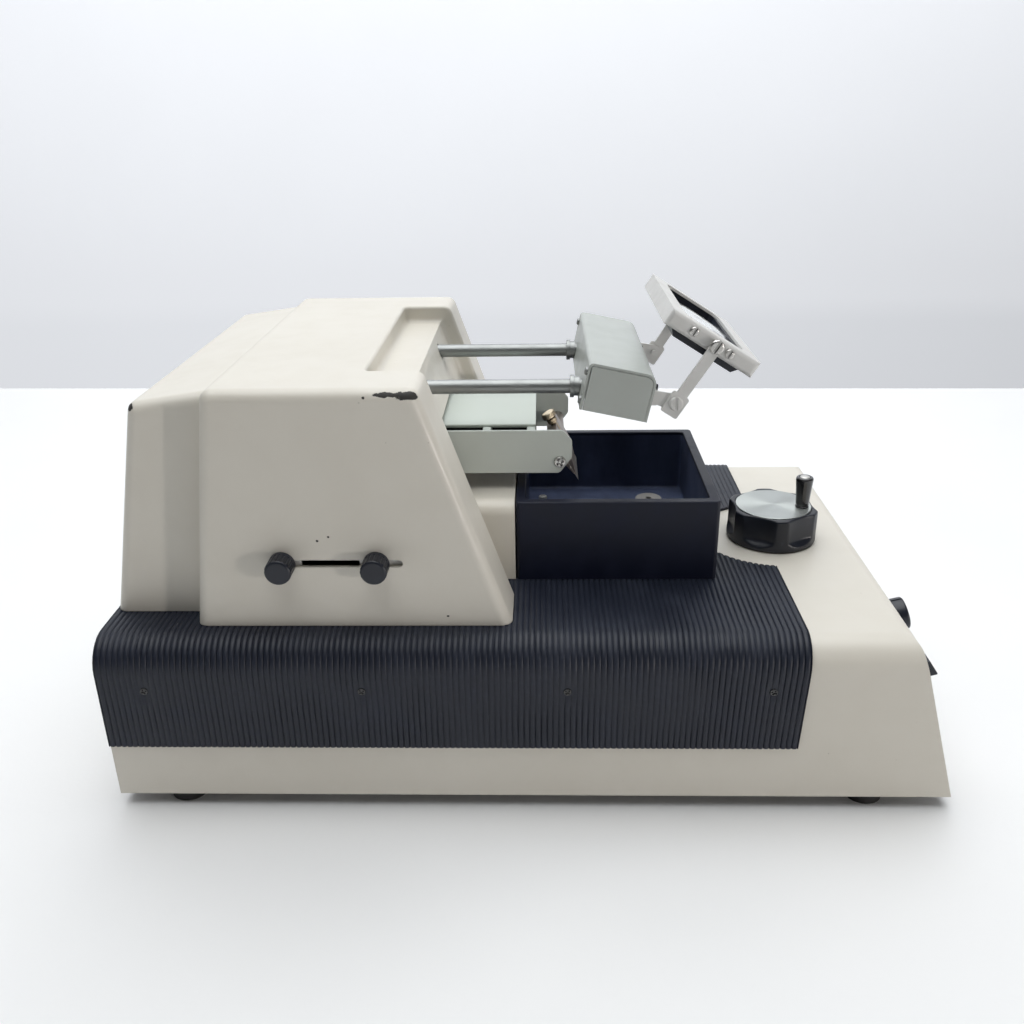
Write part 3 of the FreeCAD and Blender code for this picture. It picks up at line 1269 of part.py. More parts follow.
def toggle_bush():
    low = -BASE_WALL - 3
    collar = ring(vec(0, 0, low), Z_AXIS, TOGGLE_BUSH_RADIUS, TOGGLE_BUSH_BORE, BASE_WALL + 7)
    corners = [(6.4 * math.cos(math.radians(60 * i)), 6.4 * math.sin(math.radians(60 * i))) for i in range(7)]
    nut = Part.Face(Part.makePolygon([vec(x, y, 0) for x, y in corners])).extrude(vec(0, 0, 2.2))
    nut = nut.cut(rod(vec(0, 0, -1), Z_AXIS, TOGGLE_BUSH_RADIUS - 0.5, 5))
    body = box((-6, 6), (-7, 7), (-18, low))
    pin_hole = rod(vec(0, -TOGGLE_PIN_REACH - 0.1, TOGGLE_PIVOT_Z), Y_AXIS, TOGGLE_PIN_RADIUS + CLEARANCE,
                   2 * TOGGLE_PIN_REACH + 0.2)
    return on_panel(fused([collar, nut, body]).cut(pin_hole), TOGGLE_PLACE)


def toggle_lever():
    lever = cone(vec(0, 0, 1.4), Z_AXIS, 1.3, 2.3, 13)
    lever = rounded(lever, 1.0, lambda edge: edge.BoundBox.ZMin > 14)
    ball = Part.makeSphere(2.3, vec(0, 0, TOGGLE_PIVOT_Z))
    pin = rod(vec(0, -TOGGLE_PIN_REACH, TOGGLE_PIVOT_Z), Y_AXIS, TOGGLE_PIN_RADIUS, 2 * TOGGLE_PIN_REACH)
    return on_panel(fused([lever, ball, pin]), TOGGLE_PLACE)


# ---- inside the base ------------------------------------------------------------------------------
def power_inlet():
    """The recessed three-pin mains inlet, set flush in the rear wall."""
    rear = -HALF_LENGTH
    y = (INLET_Y - INLET_HALF[0], INLET_Y + INLET_HALF[0])
    z = (INLET_Z - INLET_HALF[1], INLET_Z + INLET_HALF[1])
    body = box((rear, rear + 22), y, z)
    flange = box((rear + BASE_WALL, rear + BASE_WALL + 2), (y[0] - 8, y[1] + 8), (z[0] - 3, z[1] + 3))
    well = box((rear - 1, rear + 15), (y[0] + 2, y[1] - 2), (z[0] + 2, z[1] - 2))
    pins = []
    for across, up in ((0, 2.2), (-7, -1.8), (7, -1.8)):
        pin_y = INLET_Y + across
        pin_z = INLET_Z + up
        pins.append(box((rear + 3, rear + 16), (pin_y - 1, pin_y + 1), (pin_z - 2, pin_z + 2)))
    return fused([fused([body, flange]).cut(well)] + pins)


def fuse_holder():
    rear = -HALF_LENGTH
    body = rod(vec(rear, FUSE_Y, INLET_Z), X_AXIS, FUSE_RADIUS, 36)
    flange = ring(vec(rear + BASE_WALL, FUSE_Y, INLET_Z), X_AXIS, 9.5, FUSE_RADIUS - 0.5, 2.5)
    slot = box((rear - 1, rear + 1.4), (FUSE_Y - 4.5, FUSE_Y + 4.5), (INLET_Z - 0.8, INLET_Z + 0.8))
    return fused([body, flange]).cut(slot)


def transformer():
    """A laminated core with its winding, on two feet."""
    floor = FOOT_HEIGHT + 2
    core = box((-120, -66), (52, 98), (floor + 2, floor + 50))
    window = box((-108, -78), (50, 100), (floor + 12, floor + 40))
    winding = rounded_along(box((-108, -78), (46, 104), (floor + 12, floor + 40)), 6.0, X_AXIS)
    feet = box((-128, -58), (56, 94), (floor, floor + 2))
    return fused([core.cut(window), winding, feet])


def circuit_board():
    floor = FOOT_HEIGHT + 2
    board = box((-70, 40), (-110, -20), (floor + 8, floor + 9.6))
    posts = [rod(vec(x, y, floor), Z_AXIS, 3.0, 8) for x in (-64, 34) for y in (-104, -26)]
    return fused([board] + posts)


def board_parts():
    """Capacitors, a relay, regulators on their heat sink, and a terminal strip."""
    top = FOOT_HEIGHT + 11.6
    parts = [rod(vec(-55 + 18 * i, -92, top), Z_AXIS, 7.0, 22) for i in range(3)]
    parts.append(box((0, 20), (-100, -86), (top, top + 15)))
    parts += [box((x, x + 1.6), (-70, -40), (top, top + 24)) for x in (-60, -55, -50)]
    parts.append(box((-61, -48.4), (-58, -52), (top, top + 4)))
    parts += [box((x, x + 8), (-34, -25), (top, top + 9)) for x in (-30, -20, -10, 0, 10)]
    parts += [box((x, x + 18), (-66, -59), (top, top + 3.5)) for x in (-20, 6)]
    return Part.makeCompound([parts[0], parts[1], parts[2], parts[3], fused(parts[4:8])] + parts[8:])


def group(*makers):
    """A node made of the solids of several functions."""
    solids = [solid for make in makers for solid in make().Solids]
    return Part.makeCompound(solids)


NODES = {
    "base_shell": base_shell,
    "bottom_plate": bottom_plate,
    "rubber_feet": rubber_feet,
    "ribbed_mat": ribbed_mat,
    "case_screws": lambda: group(foot_screws, mat_screws, hood_screws, bath_screws),
    "hood_shell": hood_shell,
    "plinth_cover": plinth_cover,
    "bath_tray": bath_tray,
    "shaft_bushes": lambda: group(column_seal, handwheel_bush),
    "specimen_disc": specimen_disc,
    "lift_column": lift_column,
    "lift_pulley": lift_pulley,
    "drive_belts": lambda: group(lift_belt, drive_belt),
    "drive_brackets": lambda: group(lift_bracket, motor_bracket),
    "handwheel_skirt": handwheel_skirt,
    "handwheel_disc": handwheel_disc,
    "handwheel_shaft": lambda: group(handwheel_shaft, crank_stud),
    "crank_handle": crank_handle,
    "rail_frame": rail_frame,
    "guide_rails": guide_rails,
    "carriage_block": carriage_block,
    "carriage_bearings": lambda: group(linear_bushings, lead_nut),
    "lead_screw": lead_screw,
    "motor_pulley": motor_pulley,
    "advance_motor": advance_motor,
    "arm_channel": arm_channel,
    "arm_plates": arm_plates,
    "arm_cross_bars": lambda: group(arm_tie_bar, armature_bar),
    "vibration_coil": vibration_coil,
    "pivot_screws": pivot_screws,
    "blade_holder": lambda: group(blade_holder, blade_clamp),
    "blade": blade,
    "thumb_screw": thumb_screw,
    "rear_limit_knob": lambda: limit_knob(REAR_LIMIT_X),
    "rear_limit_switch": lambda: limit_switch(REAR_LIMIT_X, -1),
    "front_limit_knob": lambda: limit_knob(FRONT_LIMIT_X),
    "front_limit_switch": lambda: limit_switch(FRONT_LIMIT_X, 1),
    "lamp_cover": lamp_cover,
    "lamp_end_plates": lamp_end_plates,
    "lamp_rods": lambda: group(lamp_rods, rod_collars, lamp_back_screws),
    "rod_guides": lambda: group(rod_bushings, rod_support),
    "lamp_tube": lamp_tube,
    "lamp_reflector": lambda: group(lamp_reflector, tube_holders),
    "start_button": lambda: lamp_button(BUTTON_Y[0]),
    "stop_button": lambda: lamp_button(BUTTON_Y[1]),
    "lens_brackets": lens_brackets,
    "link_arms": lambda: group(link_arms, link_screws),
    "lens_frame": lens_frame,
    "lens_housing": lens_housing,
    "magnifier_lens": magnifier_lens,
    "frame_screws": lambda: group(frame_screws, frame_pivot_screws),
    "amplitude_knob": lambda: panel_control(PANEL_KNOBS[0]),
    "speed_knob": lambda: panel_control(PANEL_KNOBS[1]),
    "panel_hardware": lambda: group(potentiometers, switch_bezels, toggle_bush),
    "power_rocker": lambda: rocker(PANEL_ROCKERS[0]),
    "lamp_rocker": lambda: rocker(PANEL_ROCKERS[1]),
    "toggle_lever": toggle_lever,
    "mains_inlet": lambda: group(power_inlet, fuse_holder),
    "power_supply": lambda: group(transformer, circuit_board, board_parts),
}


def main():
    os.makedirs("parts", exist_ok=True)
    for name, make in NODES.items():
        make().exportStep(os.path.join("parts", name + ".step"))


main()
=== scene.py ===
import json
import math

import bpy
from mathutils import Matrix, Vector, noise


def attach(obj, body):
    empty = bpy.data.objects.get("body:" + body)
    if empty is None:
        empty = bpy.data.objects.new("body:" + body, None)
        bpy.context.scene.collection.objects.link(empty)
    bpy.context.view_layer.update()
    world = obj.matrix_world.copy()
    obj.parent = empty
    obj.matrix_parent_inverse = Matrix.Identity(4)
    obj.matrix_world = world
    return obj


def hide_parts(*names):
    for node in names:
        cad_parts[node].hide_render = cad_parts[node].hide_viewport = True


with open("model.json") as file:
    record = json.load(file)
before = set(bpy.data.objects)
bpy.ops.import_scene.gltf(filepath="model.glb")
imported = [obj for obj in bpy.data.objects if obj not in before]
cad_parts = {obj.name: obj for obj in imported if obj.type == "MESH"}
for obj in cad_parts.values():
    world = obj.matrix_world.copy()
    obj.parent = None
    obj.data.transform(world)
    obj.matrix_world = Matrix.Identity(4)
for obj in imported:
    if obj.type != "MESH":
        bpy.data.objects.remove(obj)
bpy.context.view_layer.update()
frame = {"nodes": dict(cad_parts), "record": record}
MM = 0.001
NODES = frame["nodes"]
SLOT_OF = {part["node"]: part["material_slot"] for part in frame["record"]["subparts"]}


# ---------------------------------------------------------------- material nodes

class Finish:
    """Builds one procedural material, in the piece's own coordinates."""

    def __init__(self, name):
        self.material = bpy.data.materials.new(name)
        self.material.use_nodes = True
        self.tree = self.material.node_tree
        self.tree.nodes.clear()
        self.place = self.node("ShaderNodeTexCoord").outputs["Object"]

    def node(self, kind, inputs=None, **settings):
        made = self.tree.nodes.new(kind)
        for key, value in settings.items():
            setattr(made, key, value)
        for key, value in (inputs or {}).items():
            self.feed(made.inputs[key], value)
        return made

    def feed(self, socket, value):
        if isinstance(value, bpy.types.NodeSocket):
            self.tree.links.new(value, socket)
        else:
            socket.default_value = value

    def calc(self, operation, *values):
        made = self.node("ShaderNodeMath", operation=operation)
        for socket, value in zip(made.inputs, values):
            self.feed(socket, value)
        return made.outputs[0]

    def vector(self, operation, *values):
        made = self.node("ShaderNodeVectorMath", operation=operation)
        for socket, value in zip(made.inputs, values):
            self.feed(socket, value)
        return made.outputs["Value" if operation in ("LENGTH", "DOT_PRODUCT") else "Vector"]

    def stretched(self, stretch, turn=(0, 0, 0)):
        if stretch == (1, 1, 1) and turn == (0, 0, 0):
            return self.place
        rotation = [math.radians(angle) for angle in turn]
        made = self.node("ShaderNodeMapping", {"Vector": self.place, "Scale": stretch, "Rotation": rotation})
        return made.outputs[0]

    def noise(self, scale, detail=3.0, rough=0.5, stretch=(1, 1, 1), turn=(0, 0, 0)):
        made = self.node("ShaderNodeTexNoise", {"Vector": self.stretched(stretch, turn), "Scale": scale,
                                                "Detail": detail, "Roughness": rough})
        return made.outputs["Fac"]

    def cells(self, scale):
        return self.node("ShaderNodeTexVoronoi", {"Vector": self.place, "Scale": scale}).outputs["Distance"]

    def spread(self, value, low, high, out_low=0.0, out_high=1.0):
        """Eases a value from one range to another, and holds it at both ends."""
        limits = {"Value": value, "From Min": low, "From Max": high, "To Min": out_low, "To Max": out_high}
        return self.node("ShaderNodeMapRange", limits, interpolation_type="SMOOTHSTEP").outputs[0]

    def mix(self, share, first, second):
        made = self.node("ShaderNodeMix", data_type="RGBA")
        self.feed(made.inputs[0], share)
        self.feed(made.inputs[6], first)
        self.feed(made.inputs[7], second)
        return made.outputs[2]

    def mix_value(self, share, first, second):
        made = self.node("ShaderNodeMix", data_type="FLOAT")
        self.feed(made.inputs[0], share)
        self.feed(made.inputs[2], first)
        self.feed(made.inputs[3], second)
        return made.outputs[0]

    def eased(self, radius):
        """A normal that rounds the edges within that radius."""
        return self.node("ShaderNodeBevel", {"Radius": radius}, samples=4).outputs[0]

    def edge(self, radius):
        """High where the surface turns sharply."""
        true = self.node("ShaderNodeNewGeometry").outputs["Normal"]
        return self.calc("SUBTRACT", 1.0, self.vector("DOT_PRODUCT", self.eased(radius), true))

    def bump(self, height, distance, normal=None):
        made = self.node("ShaderNodeBump", {"Height": height, "Distance": distance, "Strength": 1.0})
        if normal is not None:
            self.feed(made.inputs["Normal"], normal)
        return made.outputs[0]

    def chip(self, centre, size):
        """High inside one flaked patch, centre and half sizes in millimetres."""
        offset = self.vector("SUBTRACT", self.place, [c * MM for c in centre])
        scaled = self.vector("DIVIDE", offset, [s * MM for s in size])
        ragged = self.calc("MULTIPLY_ADD", self.noise(260.0, 4.0, 0.65), 1.5, -0.75)
        return self.spread(self.calc("ADD", self.vector("LENGTH", scaled), ragged), 1.0, 0.86)

    def most(self, *values):
        top = values[0]
        for value in values[1:]:
            top = self.calc("MAXIMUM", top, value)
        return top

    def done(self, **values):
        """The closing shader. Keys are the shader's input names with _ for a space."""
        inputs = {key.replace("_", " "): value for key, value in values.items()}
        shader = self.node("ShaderNodeBsdfPrincipled", inputs)
        self.node("ShaderNodeOutputMaterial", {"Surface": shader.outputs[0]})
        return self.material


def tone(red, green, blue):
    """A display colour, 0 to 255, as the linear colour that the shaders take."""
    def linear(value):
        share = value / 255
        return share / 12.92 if share <= 0.04045 else ((share + 0.055) / 1.055) ** 2.4
    return (linear(red), linear(green), linear(blue), 1.0)


def enamel(name, colour, shade, gloss, chips=(), edge_radius=0.7, peel=0.012):
    """Sprayed paint: orange peel, faint mottling, rubbed edges and, where listed, flaked chips."""
    f = Finish(name)
    mottle = f.spread(f.noise(14, 4.0, 0.6), 0.3, 0.7)
    cloud = f.spread(f.noise(55, 5.0, 0.62), 0.35, 0.75)
    rub = f.spread(f.edge(edge_radius * MM), 0.05, 0.4)
    worn = f.calc("MULTIPLY", rub, f.spread(f.noise(130, 5.0, 0.7), 0.56, 0.66))
    specks = f.spread(f.cells(95), 0.055, 0.035)
    specks = f.calc("MULTIPLY", specks, f.spread(f.noise(9, 2.0), 0.56, 0.64))
    colour_now = f.mix(f.calc("MULTIPLY", mottle, 0.24), colour, shade)
    colour_now = f.mix(f.calc("MULTIPLY", cloud, 0.10), colour_now, shade)
    colour_now = f.mix(f.calc("MULTIPLY", specks, 0.35), colour_now, tone(120, 112, 98))
    bare = f.calc("MULTIPLY", worn, 0.75)
    colour_now = f.mix(bare, colour_now, tone(92, 86, 78))
    relief = f.calc("MULTIPLY_ADD", f.noise(260, 2.0), 0.9, f.noise(1100, 2.0, 0.5))
    if chips:
        flaked = f.most(*[f.chip(*chip) for chip in chips])
        primer = f.mix(f.noise(700, 4.0), tone(26, 25, 25), tone(58, 54, 50))
        colour_now = f.mix(flaked, colour_now, primer)
        bare = f.calc("MAXIMUM", bare, flaked)
        relief = f.calc("MULTIPLY_ADD", flaked, -8.0, relief)
    rough = f.mix_value(cloud, gloss, gloss + 0.09)
    rough = f.mix_value(bare, rough, 0.62)
    normal = f.bump(relief, peel * MM, f.eased(edge_radius * MM))
    return f.done(Base_Color=colour_now, Roughness=rough, Normal=normal, Coat_Weight=0.12,
                  Coat_Roughness=0.22)


CHANNEL_HALF, CHANNEL_ROOF = 25.4, 188.3


def channel_enamel_painted_shade(name, colour, shade):
    """The arm's enamel, with painted shade: near black inside the channel below its top plate, where shade
    falls.
    """
    f = Finish(name)
    place = f.node("ShaderNodeSeparateXYZ", {"Vector": f.place}).outputs
    between = f.spread(f.calc("ABSOLUTE", place["Y"]), CHANNEL_HALF * MM, (CHANNEL_HALF - 0.4) * MM)
    below = f.spread(place["Z"], CHANNEL_ROOF * MM, (CHANNEL_ROOF - 0.7) * MM)
    inside = f.calc("MULTIPLY", between, below)
    mottle = f.spread(f.noise(14, 4.0, 0.6), 0.3, 0.7)
    colour_now = f.mix(f.calc("MULTIPLY", mottle, 0.24), colour, shade)
    # Painted shade: the channel's inside below its top plate is painted near black.
    colour_now = f.mix(inside, colour_now, tone(24, 25, 27))
    normal = f.bump(f.noise(1100, 2.0, 0.5), 0.008 * MM, f.eased(0.5 * MM))
    return f.done(Base_Color=colour_now, Roughness=f.mix_value(inside, 0.44, 0.7), Normal=normal)


def rubber(name, colour, dusty, rough):
    """Moulded rubber with a fine skin and dust in the hollows."""
    f = Finish(name)
    skin = f.noise(900.0, 3.0, 0.6)
    dust = f.spread(f.noise(38, 5.0, 0.65), 0.42, 0.78)
    fine = f.spread(f.noise(420, 3.0, 0.7), 0.5, 0.75)
    colour_now = f.mix(f.calc("MULTIPLY", dust, 0.18), colour, dusty)
    colour_now = f.mix(f.calc("MULTIPLY", fine, 0.12), colour_now, dusty)
    rough_now = f.mix_value(dust, rough, rough + 0.16)
    return f.done(Base_Color=colour_now, Roughness=rough_now, Specular_IOR_Level=0.42,
                  Normal=f.bump(skin, 0.02 * MM, f.eased(0.3 * MM)))


def plastic(name, colour, lighter, rough, grain=0.010, scale=700.0, coat=0.0):
    """Moulded plastic: fine texture, handling marks and slightly polished edges."""
    f = Finish(name)
    handled = f.spread(f.noise(60, 4.0, 0.6), 0.4, 0.7)
    scuffs = f.spread(f.noise(240, 4.0, 0.7, stretch=(1, 6, 1), turn=(20, 0, 35)), 0.62, 0.72)
    rub = f.spread(f.edge(0.4 * MM), 0.04, 0.35)
    colour_now = f.mix(f.calc("MULTIPLY", handled, 0.25), colour, lighter)
    colour_now = f.mix(f.calc("MULTIPLY", f.calc("MAXIMUM", scuffs, rub), 0.35), colour_now, lighter)
    rough_now = f.mix_value(handled, rough, rough + 0.1)
    rough_now = f.mix_value(rub, rough_now, max(rough - 0.1, 0.12))
    normal = f.bump(f.noise(scale, 3.0, 0.55), grain * MM, f.eased(0.45 * MM))
    return f.done(Base_Color=colour_now, Roughness=rough_now, Coat_Weight=coat, Coat_Roughness=0.12,
                  Normal=normal)


BATH_MIDDLE, BATH_HALF = (49.9, 0.0, 128.0), (52.4, 58.0, 23.0)


def bath_lacquer(name, colour, lighter):
    """Black lacquer, paler inside the bath in streaks and rings; its rims are painted lighter, partly rubbed
    wear and partly a painted highlight.
    """
    f = Finish(name)
    offset = f.vector("SUBTRACT", f.place, [v * MM for v in BATH_MIDDLE])
    inside = f.vector("DIVIDE", f.vector("ABSOLUTE", offset), [v * MM for v in BATH_HALF])
    parts = f.node("ShaderNodeSeparateXYZ", {"Vector": inside}).outputs
    depth = f.spread(f.most(parts["X"], parts["Y"], parts["Z"]), 1.02, 0.97)
    streaks = f.spread(f.noise(46, 5.0, 0.66, stretch=(1, 1, 0.25)), 0.25, 0.8)
    rings = f.spread(f.noise(19, 4.0, 0.6), 0.4, 0.62)
    rings = f.calc("MULTIPLY_ADD", rings, 0.25, 0.35)
    paler_inside = f.calc("MULTIPLY", depth, f.calc("MULTIPLY_ADD", streaks, 0.35, rings))
    handled = f.spread(f.noise(60, 4.0, 0.6), 0.4, 0.7)
    rub = f.spread(f.edge(0.9 * MM), 0.04, 0.35)
    colour_now = f.mix(f.calc("MULTIPLY", handled, 0.2), colour, lighter)
    # Rims painted lighter: partly rubbed wear, partly a painted highlight where the rims catch the light.
    colour_now = f.mix(f.calc("MULTIPLY", rub, 0.7), colour_now, tone(92, 98, 112))
    # Paler inside the bath, in streaks and rings.
    colour_now = f.mix(paler_inside, colour_now, tone(110, 122, 156))
    rough = f.mix_value(handled, 0.42, 0.5)
    normal = f.bump(f.noise(500.0, 3.0, 0.55), 0.012 * MM, f.eased(0.6 * MM))
    return f.done(Base_Color=colour_now, Roughness=f.mix_value(paler_inside, rough, 0.5),
                  Specular_IOR_Level=0.36, Normal=normal)


def metal(name, colour, darker, rough, stretch=(1, 1, 1), turn=(0, 0, 0), lines=1500.0,
          relief=0.006, stain=0.35, metallic=1.0, hollow_shade=0.0):
    """Drawn, brushed or cast metal: fine lines one way, smudges, staining and, where asked, painted shade
    darkening its hollows.
    """
    f = Finish(name)
    drawn = f.noise(lines, 3.0, 0.6, stretch=stretch, turn=turn)
    smudge = f.spread(f.noise(70, 5.0, 0.62), 0.38, 0.74)
    spots = f.spread(f.noise(330, 4.0, 0.7), 0.6, 0.72)
    colour_now = f.mix(f.calc("MULTIPLY", smudge, stain), colour, darker)
    colour_now = f.mix(f.calc("MULTIPLY", spots, stain * 0.6), colour_now, darker)
    if hollow_shade:
        # Painted shade: an occlusion node darkens the hollows, such as screw slots and knurls.
        occlusion = f.node("ShaderNodeAmbientOcclusion", {"Distance": 2.0 * MM}, samples=8)
        open_share = occlusion.outputs["AO"]
        hollow = f.calc("MULTIPLY", f.spread(open_share, 0.9, 0.35), hollow_shade)
        colour_now = f.mix(hollow, colour_now, tone(24, 22, 20))
    rough_now = f.mix_value(smudge, rough, rough + 0.14)
    rough_now = f.calc("ADD", rough_now, f.calc("MULTIPLY_ADD", drawn, 0.1, -0.05))
    return f.done(Base_Color=colour_now, Metallic=metallic, Roughness=rough_now,
                  Normal=f.bump(drawn, relief * MM, f.eased(0.35 * MM)))


def spun(name, colour, darker, centre):
    """Metal turned on a lathe: rings about an upright axis through centre, in millimetres."""
    pitch = 0.35
    f = Finish(name)
    offset = f.vector("MULTIPLY", f.vector("SUBTRACT", f.place, [c * MM for c in centre]), (1, 1, 0))
    radius = f.vector("LENGTH", offset)
    wobble = f.calc("MULTIPLY", f.noise(26, 3.0), 0.12 * MM)
    rings = f.calc("SINE", f.calc("MULTIPLY", f.calc("ADD", radius, wobble), 2 * math.pi / (pitch * MM)))
    outward = f.node("ShaderNodeCombineXYZ", {"X": radius}).outputs[0]
    fine = f.node("ShaderNodeTexNoise", {"Vector": outward, "Scale": 5200.0, "Detail": 3.0}).outputs["Fac"]
    relief = f.calc("MULTIPLY_ADD", rings, 0.3, f.calc("MULTIPLY", fine, 2.2))
    smudge = f.spread(f.noise(85, 5.0, 0.62), 0.4, 0.72)
    colour_now = f.mix(f.calc("MULTIPLY", smudge, 0.08), colour, darker)
    colour_now = f.mix(f.calc("MULTIPLY", fine, 0.3), colour_now, darker)
    rough_now = f.mix_value(smudge, 0.40, 0.43)
    tangent = f.node("ShaderNodeTangent", direction_type="RADIAL", axis="Z").outputs[0]
    return f.done(Base_Color=colour_now, Metallic=1.0, Roughness=rough_now, Anisotropic=0.75,
                  Tangent=tangent, Normal=f.bump(relief, 0.003 * MM, f.eased(0.3 * MM)))


def clear_glass(name):
    """Clear glass with faint smears."""
    f = Finish(name)
    smear = f.spread(f.noise(45, 4.0, 0.6), 0.45, 0.8)
    normal = f.bump(f.noise(30, 2.0), 0.002 * MM)
    return f.done(Base_Color=(0.97, 0.99, 0.98, 1.0), Roughness=f.mix_value(smear, 0.0, 0.05), IOR=1.5,
                  Transmission_Weight=1.0, Normal=normal)


# Flaked spots on the hood: centre and half sizes in millimetres.
HOOD_CHIPS = (
    ((-57.0, -115.4, 231.6), (8.4, 2.4, 2.2)),
    ((-67.5, -115.2, 232.1), (8.2, 2.0, 1.4)),
    ((-79.4, -115.8, 231.1), (1.0, 1.6, 0.8)),
    ((-203.0, -100.0, 222.6), (2.6, 4.0, 3.4)),
    ((-50.9, -116.5, 227.5), (0.7, 1.6, 0.8)),
    ((-48.9, -116.5, 220.8), (0.8, 1.6, 0.9)),
    ((-48.4, -116.5, 218.6), (0.7, 1.6, 0.7)),
    ((-47.6, -116.5, 216.9), (0.8, 1.6, 0.9)),
    ((-35.5, -116.5, 180.4), (0.8, 1.6, 0.8)),
    ((-109.0, -117.0, 155.0), (0.7, 1.2, 0.7)),
    ((-103.1, -117.0, 157.3), (0.6, 1.2, 0.6)),
    ((-206.1, -101.0, 206.2), (0.7, 1.2, 1.0)),
    ((-43.2, -117.0, 110.7), (0.8, 1.2, 0.6)),
)

MATERIALS = {
    "beige_paint": enamel("beige_paint", tone(216, 211, 200), tone(205, 199, 186), 0.40, HOOD_CHIPS),
    "mat_rubber": rubber("mat_rubber", tone(24, 29, 42), tone(70, 76, 92), 0.46),
    "foot_rubber": rubber("foot_rubber", tone(34, 33, 33), tone(90, 86, 82), 0.58),
    "bright_steel": metal("bright_steel", tone(206, 205, 202), tone(150, 146, 138), 0.36, (0.05, 1, 1)),
    "steel": metal("steel", tone(192, 191, 188), tone(120, 116, 108), 0.32, (0.05, 1, 1)),
    "bath_black": bath_lacquer("bath_black", tone(12, 17, 36), tone(30, 37, 62)),
    "grey_plastic": plastic("grey_plastic", tone(150, 146, 141), tone(180, 176, 170), 0.48),
    "black_plastic": plastic("black_plastic", tone(19, 23, 34), tone(54, 58, 70), 0.36, 0.008, 800.0),
    "gloss_black": plastic("gloss_black", tone(24, 24, 25), tone(60, 60, 62), 0.14, 0.002, 300.0, 0.6),
    "spun_aluminium": spun("spun_aluminium", tone(190, 194, 191), tone(146, 150, 148), (152.4, 0, 0)),
    "aluminium": metal("aluminium", tone(214, 213, 210), tone(180, 178, 172), 0.46, (1, 0.3, 1),
                       lines=2400.0, relief=0.002, stain=0.15, metallic=0.3),
    "grey_enamel": enamel("grey_enamel", tone(190, 195, 188), tone(175, 180, 172), 0.42,
                          edge_radius=0.5, peel=0.008),
    "channel_enamel_painted_shade": channel_enamel_painted_shade("channel_enamel_painted_shade", tone(188, 195, 187), tone(174, 180, 171)),
    "screw_steel": metal("screw_steel", tone(214, 212, 208), tone(150, 146, 138), 0.22,
                         lines=900.0, relief=0.002, stain=0.2, hollow_shade=0.9),
    "satin_rod": metal("satin_rod", tone(152, 154, 153), tone(146, 147, 144), 0.42, (0.03, 1, 1),
                       lines=700.0, relief=0.0006, stain=0.12, metallic=0.9),
    "lamp_enamel": enamel("lamp_enamel", tone(174, 179, 174), tone(160, 163, 157), 0.34,
                          edge_radius=0.5, peel=0.008),
    "brass": metal("brass", tone(216, 202, 176), tone(156, 132, 98), 0.30, (1, 1, 0.2), (0, 60, 0),
                   lines=1200.0, relief=0.008, stain=0.4, hollow_shade=0.7),
    "belt_rubber": rubber("belt_rubber", tone(28, 28, 28), tone(66, 64, 62), 0.6),
    "winding": metal("winding", tone(176, 98, 52), tone(90, 44, 26), 0.34, (1, 1, 12),
                     lines=500.0, relief=0.03),
    "board": plastic("board", tone(38, 92, 56), tone(70, 120, 84), 0.34),
    "tube_glass": plastic("tube_glass", tone(238, 238, 232), tone(248, 248, 244), 0.16, 0.001),
    "lens_glass": clear_glass("lens_glass"),
    "white_enamel": enamel("white_enamel", tone(236, 236, 232), tone(222, 222, 216), 0.22,
                           edge_radius=0.4, peel=0.006),
    "gunmetal": metal("gunmetal", tone(164, 155, 149), tone(122, 114, 108), 0.38, (1, 0.1, 1), relief=0.01),
}

# Nodes whose finish isn't the usual one of their slot.
OWN_FINISH = {"arm_channel": "channel_enamel_painted_shade", "guide_rails": "satin_rod", "lamp_rods": "satin_rod",
              "frame_screws": "screw_steel"}
for node_name, node_object in NODES.items():
    node_object.data.materials.clear()
    node_object.data.materials.append(MATERIALS[OWN_FINISH.get(node_name, SLOT_OF[node_name])])


# ---------------------------------------------------------------- mesh helpers

SHARP_ANGLE = 38.0


def piece(name, points, faces, slot, body, replaced=(), finish=None):
    """Makes a mesh piece from points in metres. Its finish may differ from its slot's usual one."""
    data = bpy.data.meshes.new(name)
    data.from_pydata(points, [], faces)
    data.update()
    data.polygons.foreach_set("use_smooth", [True] * len(data.polygons))
    data.set_sharp_from_angle(angle=math.radians(SHARP_ANGLE))
    made = bpy.data.objects.new(name, data)
    bpy.context.scene.collection.objects.link(made)
    data.materials.append(MATERIALS[finish or slot])
    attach(made, body)
    if replaced:
        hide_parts(*replaced)


def grid_faces(rows, columns, closed=False):
    """Quads over a grid of points stored row by row."""
    around = columns if closed else columns - 1
    return [(r * columns + c, r * columns + (c + 1) % columns,
             (r + 1) * columns + (c + 1) % columns, (r + 1) * columns + c)
            for r in range(rows - 1) for c in range(around)]


def placed_on(centre, axis):
    """The matrix that takes +Z to axis and the origin to centre, in millimetres."""
    turn = Vector(axis).to_track_quat("Z", "Y").to_matrix().to_4x4()
    return Matrix.Translation(Vector(centre)) @ turn


def turned_shell(centre, axis, profile, segments, reach=None):
    """A closed turned form from (radius, height) pairs, going up the outside.

    reach(angle, radius, height) may change the radius round the form."""
    place = placed_on(centre, axis)
    points = []
    for radius, height in profile:
        for step in range(segments):
            angle = 2 * math.pi * step / segments
            out = reach(angle, radius, height) if reach else radius
            points.append(place @ Vector((out * math.cos(angle), out * math.sin(angle), height)))
    faces = grid_faces(len(profile), segments, closed=True)
    faces.append(tuple(range(segments))[::-1])
    last = len(points) - segments
    faces.append(tuple(range(last, last + segments)))
    return points, faces


